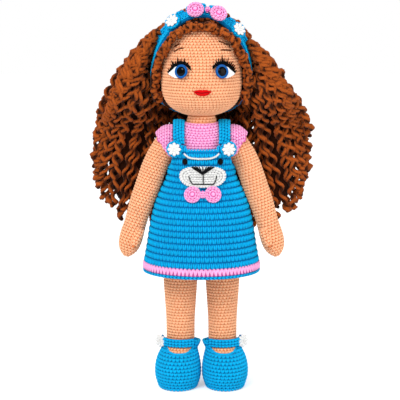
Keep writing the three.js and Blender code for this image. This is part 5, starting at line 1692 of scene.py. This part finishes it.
def felt_piece(name, node, centre, material, thickness):
    grid = front_patch(node, centre, (0.985, 0.9, 0.75, 0.5, 0.25, 0.02))
    piece = thick_sheet(name, grid, thickness, True, sink=0.0)
    piece.data.materials.append(material)
    enter(piece, node)
    return piece


lips = felt_piece("felt_lips", "lips", (0.0008, 0.2684), red_felt, thickness=0.0011)
lip_tree = tree_of("lips")
lip_left, lip_right, lip_height, lip_dip = -0.0068, 0.0085, 0.2686, 0.0003
lip_places = np.linspace(lip_left, lip_right, 12)
lip_points = [(x, lip_height - lip_dip * math.cos(x * 700)) for x in lip_places]
lip_line = np.array([front_hit(lip_tree, *p) for p in lip_points])
lip_line = lip_line[np.isfinite(lip_line[:, 0])]
lip_thread = tube_round(lip_line, 0.00035, toward_front(len(lip_line)))
dark_red = felt("red_felt", "900008", "600006", sheen=0.0)
soft_piece("line_across_lips", [lip_thread], dark_red)
for side, sign in both_sides:
    centre = (sign * 0.0228, 0.2858)
    felt_piece(f"felt_{side}_eye_corner", f"{side}_eye_felt", centre, white_felt, thickness=0.0008)
print("lips faces", len(lips.data.polygons))

# %% [markdown]
# Threads lie on the cloth: each is a thin tube whose points are set on the surface
# under it, a little raised. The lashes are threads of felt that taper to a point,
# and they stand off the face towards their tips.

# %% Lashes
def on_front(tree, points, lift):
    """Points on the front surface of a piece, moved a little forward."""
    made = np.array([front_hit(tree, x, z) for x, z in points])
    made[:, 1] -= lift
    return made


def smooth_line(points, count):
    """More points along a line, on an even curve through it."""
    points = np.array(points, float)
    run = run_of(points)
    return eased(read_line(np.linspace(0, run[-1], count), run, points), 3)


def tapered(points, radius, tip):
    size = np.linspace(1, tip, len(points)) * radius
    return tube_round(points, size, toward_front(len(points)))


eye_radius, eye_across, eye_height = 0.0062, 0.0166, 0.2865
root_count, lash_steps, lash_stand_off, lash_bend = 60, 8, 0.0022, 0.14
strip_radius, lash_radius, lash_lift, lash_point = 0.0013, 0.00115, 0.0012, 0.15
lash_root_shares = [
    (2.0, -0.25), (1.6, 0.2), (1.15, 0.72), (0.7, 1.0), (0.2, 1.13), (-0.3, 1.12),
    (-0.75, 0.9), (-1.05, 0.55),
]
lash_tips = {
    "left": [
        (0.031, 0.287), (0.0301, 0.2895), (0.0297, 0.2918), (0.0285, 0.2932), (0.0275, 0.2952),
        (0.0252, 0.2953), (0.0236, 0.2985), (0.0214, 0.2967), (0.0202, 0.2985), (0.0181, 0.3014),
        (0.0164, 0.297), (0.0147, 0.2985), (0.0122, 0.297), (0.0117, 0.2945), (0.0092, 0.2915),
        (0.0092, 0.2895),
    ],
    "right": [
        (-0.0302, 0.286), (-0.0296, 0.2885), (-0.0277, 0.2895), (-0.0268, 0.293),
        (-0.0268, 0.2965), (-0.0248, 0.2945), (-0.0232, 0.2958), (-0.0213, 0.2995),
        (-0.0195, 0.297), (-0.0178, 0.2978), (-0.0165, 0.296), (-0.015, 0.2985),
        (-0.0136, 0.295), (-0.0117, 0.295), (-0.0108, 0.2915), (-0.0086, 0.288),
    ],
}
for side, sign in both_sides:
    centre = np.array([sign * eye_across, eye_height])
    turned = np.array([sign, 1.0])
    roots = smooth_line(centre + np.array(lash_root_shares) * turned * eye_radius, root_count)
    strip = on_front(head_tree, roots, strip_radius)
    parts = [tube_round(strip, strip_radius, toward_front(root_count))]
    for i, tip in enumerate(lash_tips[side]):
        root = roots[round((root_count - 1) * (i + 0.3) / len(lash_tips[side]))]
        end = np.array(tip)
        aside = (end - root) @ np.array([[0, lash_bend], [-lash_bend, 0]]) * sign
        flat = bezier(root, (root + end) / 2 + aside, end, lash_steps)
        lash = on_front(head_tree, flat, lash_lift)
        lash[:, 1] -= lash_stand_off * np.linspace(0, 1, lash_steps) ** 1.5
        parts.append(tapered(lash, lash_radius, lash_point))
    soft_piece(f"felt_{side}_lashes", parts, black_felt, f"{side}_lashes")
print("lash faces", sum(len(p["faces"]) for p in parts))

# %% [markdown]
# The brows are a few loose stitches of brown thread on the forehead.

# %% Brows
brow_lines = [
    [(-0.0239, 0.3033), (-0.0201, 0.306), (-0.0155, 0.3066)],
    [(-0.0239, 0.3074), (-0.019, 0.3103)],
    [(0.017, 0.3052), (0.0223, 0.3049), (0.0256, 0.3039)],
    [(0.0147, 0.3127), (0.0203, 0.3104), (0.0247, 0.3088), (0.0243, 0.3071)],
]
brow_radius, brow_lift, brow_points = 0.00055, 0.0011, 16
parts = []
for line in brow_lines:
    thread = on_front(head_tree, smooth_line(line, brow_points), brow_lift)
    parts.append(tube_round(thread, brow_radius, toward_front(brow_points), sides=5))
    # Halving the lift turns the thread towards the hair yarn's painted shade colour, which gives
    # the brow its darker brown; its front is still painted lighter.
    parts[-1]["lift"] *= 0.5
soft_piece("brow_stitches", parts, hair_yarn)

# %% [markdown]
# ## The bear's face on the bib
# The muzzle is a white crocheted oval: its rounds run about a short middle line, and
# its edge is a chain. Nose, mouth and eyes are stitched in black thread.

# %% Muzzle
muzzle_middle, muzzle_half_line, muzzle_rounds = (0.001, 0.194), 0.0102, 4
muzzle_tree = tree_of("muzzle")
muzzle_columns, chain_room = 72, 0.0014
turns = turns_round(muzzle_columns)
reach = outline_reach(muzzle_tree, muzzle_middle, 0.024, muzzle_columns) - chain_room
rim = np.array(muzzle_middle) + np.stack([np.cos(turns), np.sin(turns)], -1) * reach[:, None]
line_ends = muzzle_middle[0] - muzzle_half_line, muzzle_middle[0] + muzzle_half_line
inner_x = np.clip(rim[:, 0], *line_ends)
inner = np.stack([inner_x, np.full(muzzle_columns, muzzle_middle[1])], -1)
shares = [min(0.995, 0.03 + r / muzzle_rounds) for r in range(muzzle_rounds + 1)]
muzzle_grid = np.array([on_front(muzzle_tree, rim + (inner - rim) * s, 0.0) for s in shares])
worked_sheet(
    "crocheted_muzzle", "muzzle", muzzle_grid, single_crochet(0.0026, 0.0023, 0.95, 0.6),
    white_yarn,
    flat=(0.041, 0.02), thickness=0.0018,
    edge=(muzzle_grid[0], toward_front(muzzle_columns)), lean=0,
)

# %% [markdown]
# The nose is a fan of threads that meet at its lower tip. The mouth is three lines,
# and each eye is a few upright threads side by side.

# %% Nose, mouth and eyes of the bear
def threads(name, tree, lines, radius, node, lift, tip=1.0):
    """Black threads along lines seen from the front, wherever there is cloth under them."""
    parts = []
    for line in lines:
        laid = on_front(tree, smooth_line(line, 14), lift)
        good = np.isfinite(laid).all(axis=1)
        if good.sum() > 3:
            parts.append(tapered(laid[good], radius, tip))
    soft_piece(name, parts, black_yarn, node)


nose_tip = (0.0011, 0.1966)
fan = [
    (-0.0092, 0.2028), (-0.0082, 0.2031), (-0.007, 0.2033), (-0.0056, 0.2034), (-0.0042, 0.2033),
    (-0.0022, 0.2032), (0.0012, 0.2036), (0.0045, 0.2032), (0.0064, 0.2033), (0.0078, 0.2034),
    (0.0092, 0.2033), (0.0104, 0.2031), (0.0114, 0.2028),
]
fan_lines = [[nose_tip, ((x + nose_tip[0]) / 2, (z + nose_tip[1]) / 2), (x, z)] for x, z in fan]
threads("stitched_nose", muzzle_tree, fan_lines, 0.00065, "bear_nose", 0.0008, 0.6)
mouth = [
    [(0.0014, 0.197), (0.0015, 0.1925), (0.0015, 0.1882)],
    [(-0.0111, 0.1948), (-0.0101, 0.1912), (-0.0079, 0.188)],
    [(-0.0079, 0.188), (-0.003, 0.1883), (0.0015, 0.1881), (0.006, 0.1882), (0.0105, 0.1877)],
    [(0.0105, 0.1877), (0.0125, 0.1908), (0.0132, 0.1948)],
]
threads("stitched_mouth", muzzle_tree, mouth, 0.00048, None, 0.0009)
dress_tree = tree_of("dress")
for side in ("left", "right"):
    node = f"{side}_bear_eye"
    low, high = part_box(node)
    centre, half = (low + high) / 2, (high - low) / 2
    lines = []
    for share in (-0.8, -0.4, 0.0, 0.4, 0.8):
        x = centre.x + half.x * share
        rise = half.z * math.sqrt(1 - share**2)
        lines.append([(x, centre.z - rise), (x, centre.z), (x, centre.z + rise)])
    threads(f"stitched_{node}", dress_tree, lines, 0.00058, node, 0.0016)
print("black threads laid")

# %% [markdown]
# A white cord of two twisted yarns hangs from ear to ear, sewn down at both ends.

# %% Cord on the bib
def twisted(line, radius, pitch, winding):
    """Two yarns wound round each other along a line."""
    line = along_line(line, pitch / steps_per_turn)
    first, second = across_line(line)
    turn = winding_turns(line)
    parts = []
    for phase in (0, math.pi):
        out = first * np.cos(turn + phase)[:, None] + second * np.sin(turn + phase)[:, None]
        parts.append(tube_round(line + out * winding, radius, out))
    return parts


corners = np.array([v.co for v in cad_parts["bib_cord"].data.vertices])
groups = np.array_split(corners[np.argsort(corners[:, 0])], 21)
cord_line = np.array([(g.min(0) + g.max(0)) / 2 for g in groups])
cord_parts = twisted(cord_line, radius=0.0006, pitch=0.0036, winding=0.0004)
soft_piece("bib_cord_of_yarn", cord_parts, white_yarn, "bib_cord")

# %% [markdown]
# Two kinds of part stay as the frame has them, because they sit inside the doll: the
# wooden rod in the neck and the washers behind the eyes. They still get a material.

# %% Inner parts
wood, wood_tree, wood_shader = new_material("rod_wood_grain", 0.6, "rod_wood")
along_rod = {"Vector": place_on(wood_tree), "Scale": (1.0, 1.0, 0.06)}
stretched = make_node(wood_tree, "ShaderNodeMapping", {}, along_rod)
grain = noise(wood_tree, stretched, scale=1400.0, detail=4.0)
wood_colour = blend_colour(wood_tree, grain, linear("a9814f"), linear("dcbd8c"))
plug(wood_tree, wood_colour, wood_shader, "Base Color")
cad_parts["neck_rod"].material_slots[0].material = wood
for side in ("left", "right"):
    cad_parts[f"{side}_eye_washer"].material_slots[0].material = washer_plastic
print("inner parts finished")

# %% [markdown]
# ## Floor and light
# The doll stands on a pale floor in a white room, under a large soft lamp from the
# front and above. The white of the room is only what the camera sees; the light it
# gives is milder, so that colours look as they are.

# %% Floor, room and lamps
bpy.ops.mesh.primitive_plane_add(size=8, location=(0, 0, -0.0002))
floor = bpy.context.object
floor.name = "floor"
floor_material, floor_tree, floor_shader = new_material("pale_floor", 0.7)
floor_noise = noise(floor_tree, place_on(floor_tree), scale=30.0)
floor_colour = blend_colour(floor_tree, floor_noise, linear("f2f2f3"), linear("f6f6f6"))
plug(floor_tree, floor_colour, floor_shader, "Base Color")
floor_path = make_node(floor_tree, "ShaderNodeLightPath")
plug(floor_tree, floor_path.of("Is Camera Ray") * 0.4, floor_shader, "Emission Strength")
constants(floor_shader, {"Emission Color": (1, 1, 1, 1)})
floor.data.materials.append(floor_material)
floor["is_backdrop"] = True

world = bpy.data.worlds.new("studio")
bpy.context.scene.world = world
world.use_nodes = True
world_tree = world.node_tree
background = world_tree.nodes["Background"]
path = make_node(world_tree, "ShaderNodeLightPath")
strength = path.of("Is Camera Ray") * 0.24 + 0.76 - path.of("Is Glossy Ray") * 0.45
plug(world_tree, strength, background, "Strength")
constants(background, {"Color": (1, 1, 1, 1)})


def lamp(name, place, aim, size, power):
    light = bpy.data.objects.new(name, bpy.data.lights.new(name, "AREA"))
    bpy.context.collection.objects.link(light)
    light.data.size = size
    light.data.energy = power
    light.location = place
    light.rotation_euler = (Vector(aim) - Vector(place)).to_track_quat("-Z", "Y").to_euler()
    return light


lamp("key", (-0.7, -1.3, 1.5), (0, 0, 0.18), 0.8, 23)
lamp("fill", (1.3, -1.0, 0.7), (0, 0, 0.18), 1.2, 8)

# %% [markdown]
# ## Sizes, and the end
# The box of the dressed doll is printed. The dressed doll has to stay within the
# frame's box.

# %% Print the size and finish
low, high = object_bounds()
print("seen box", tuple(low), tuple(high))
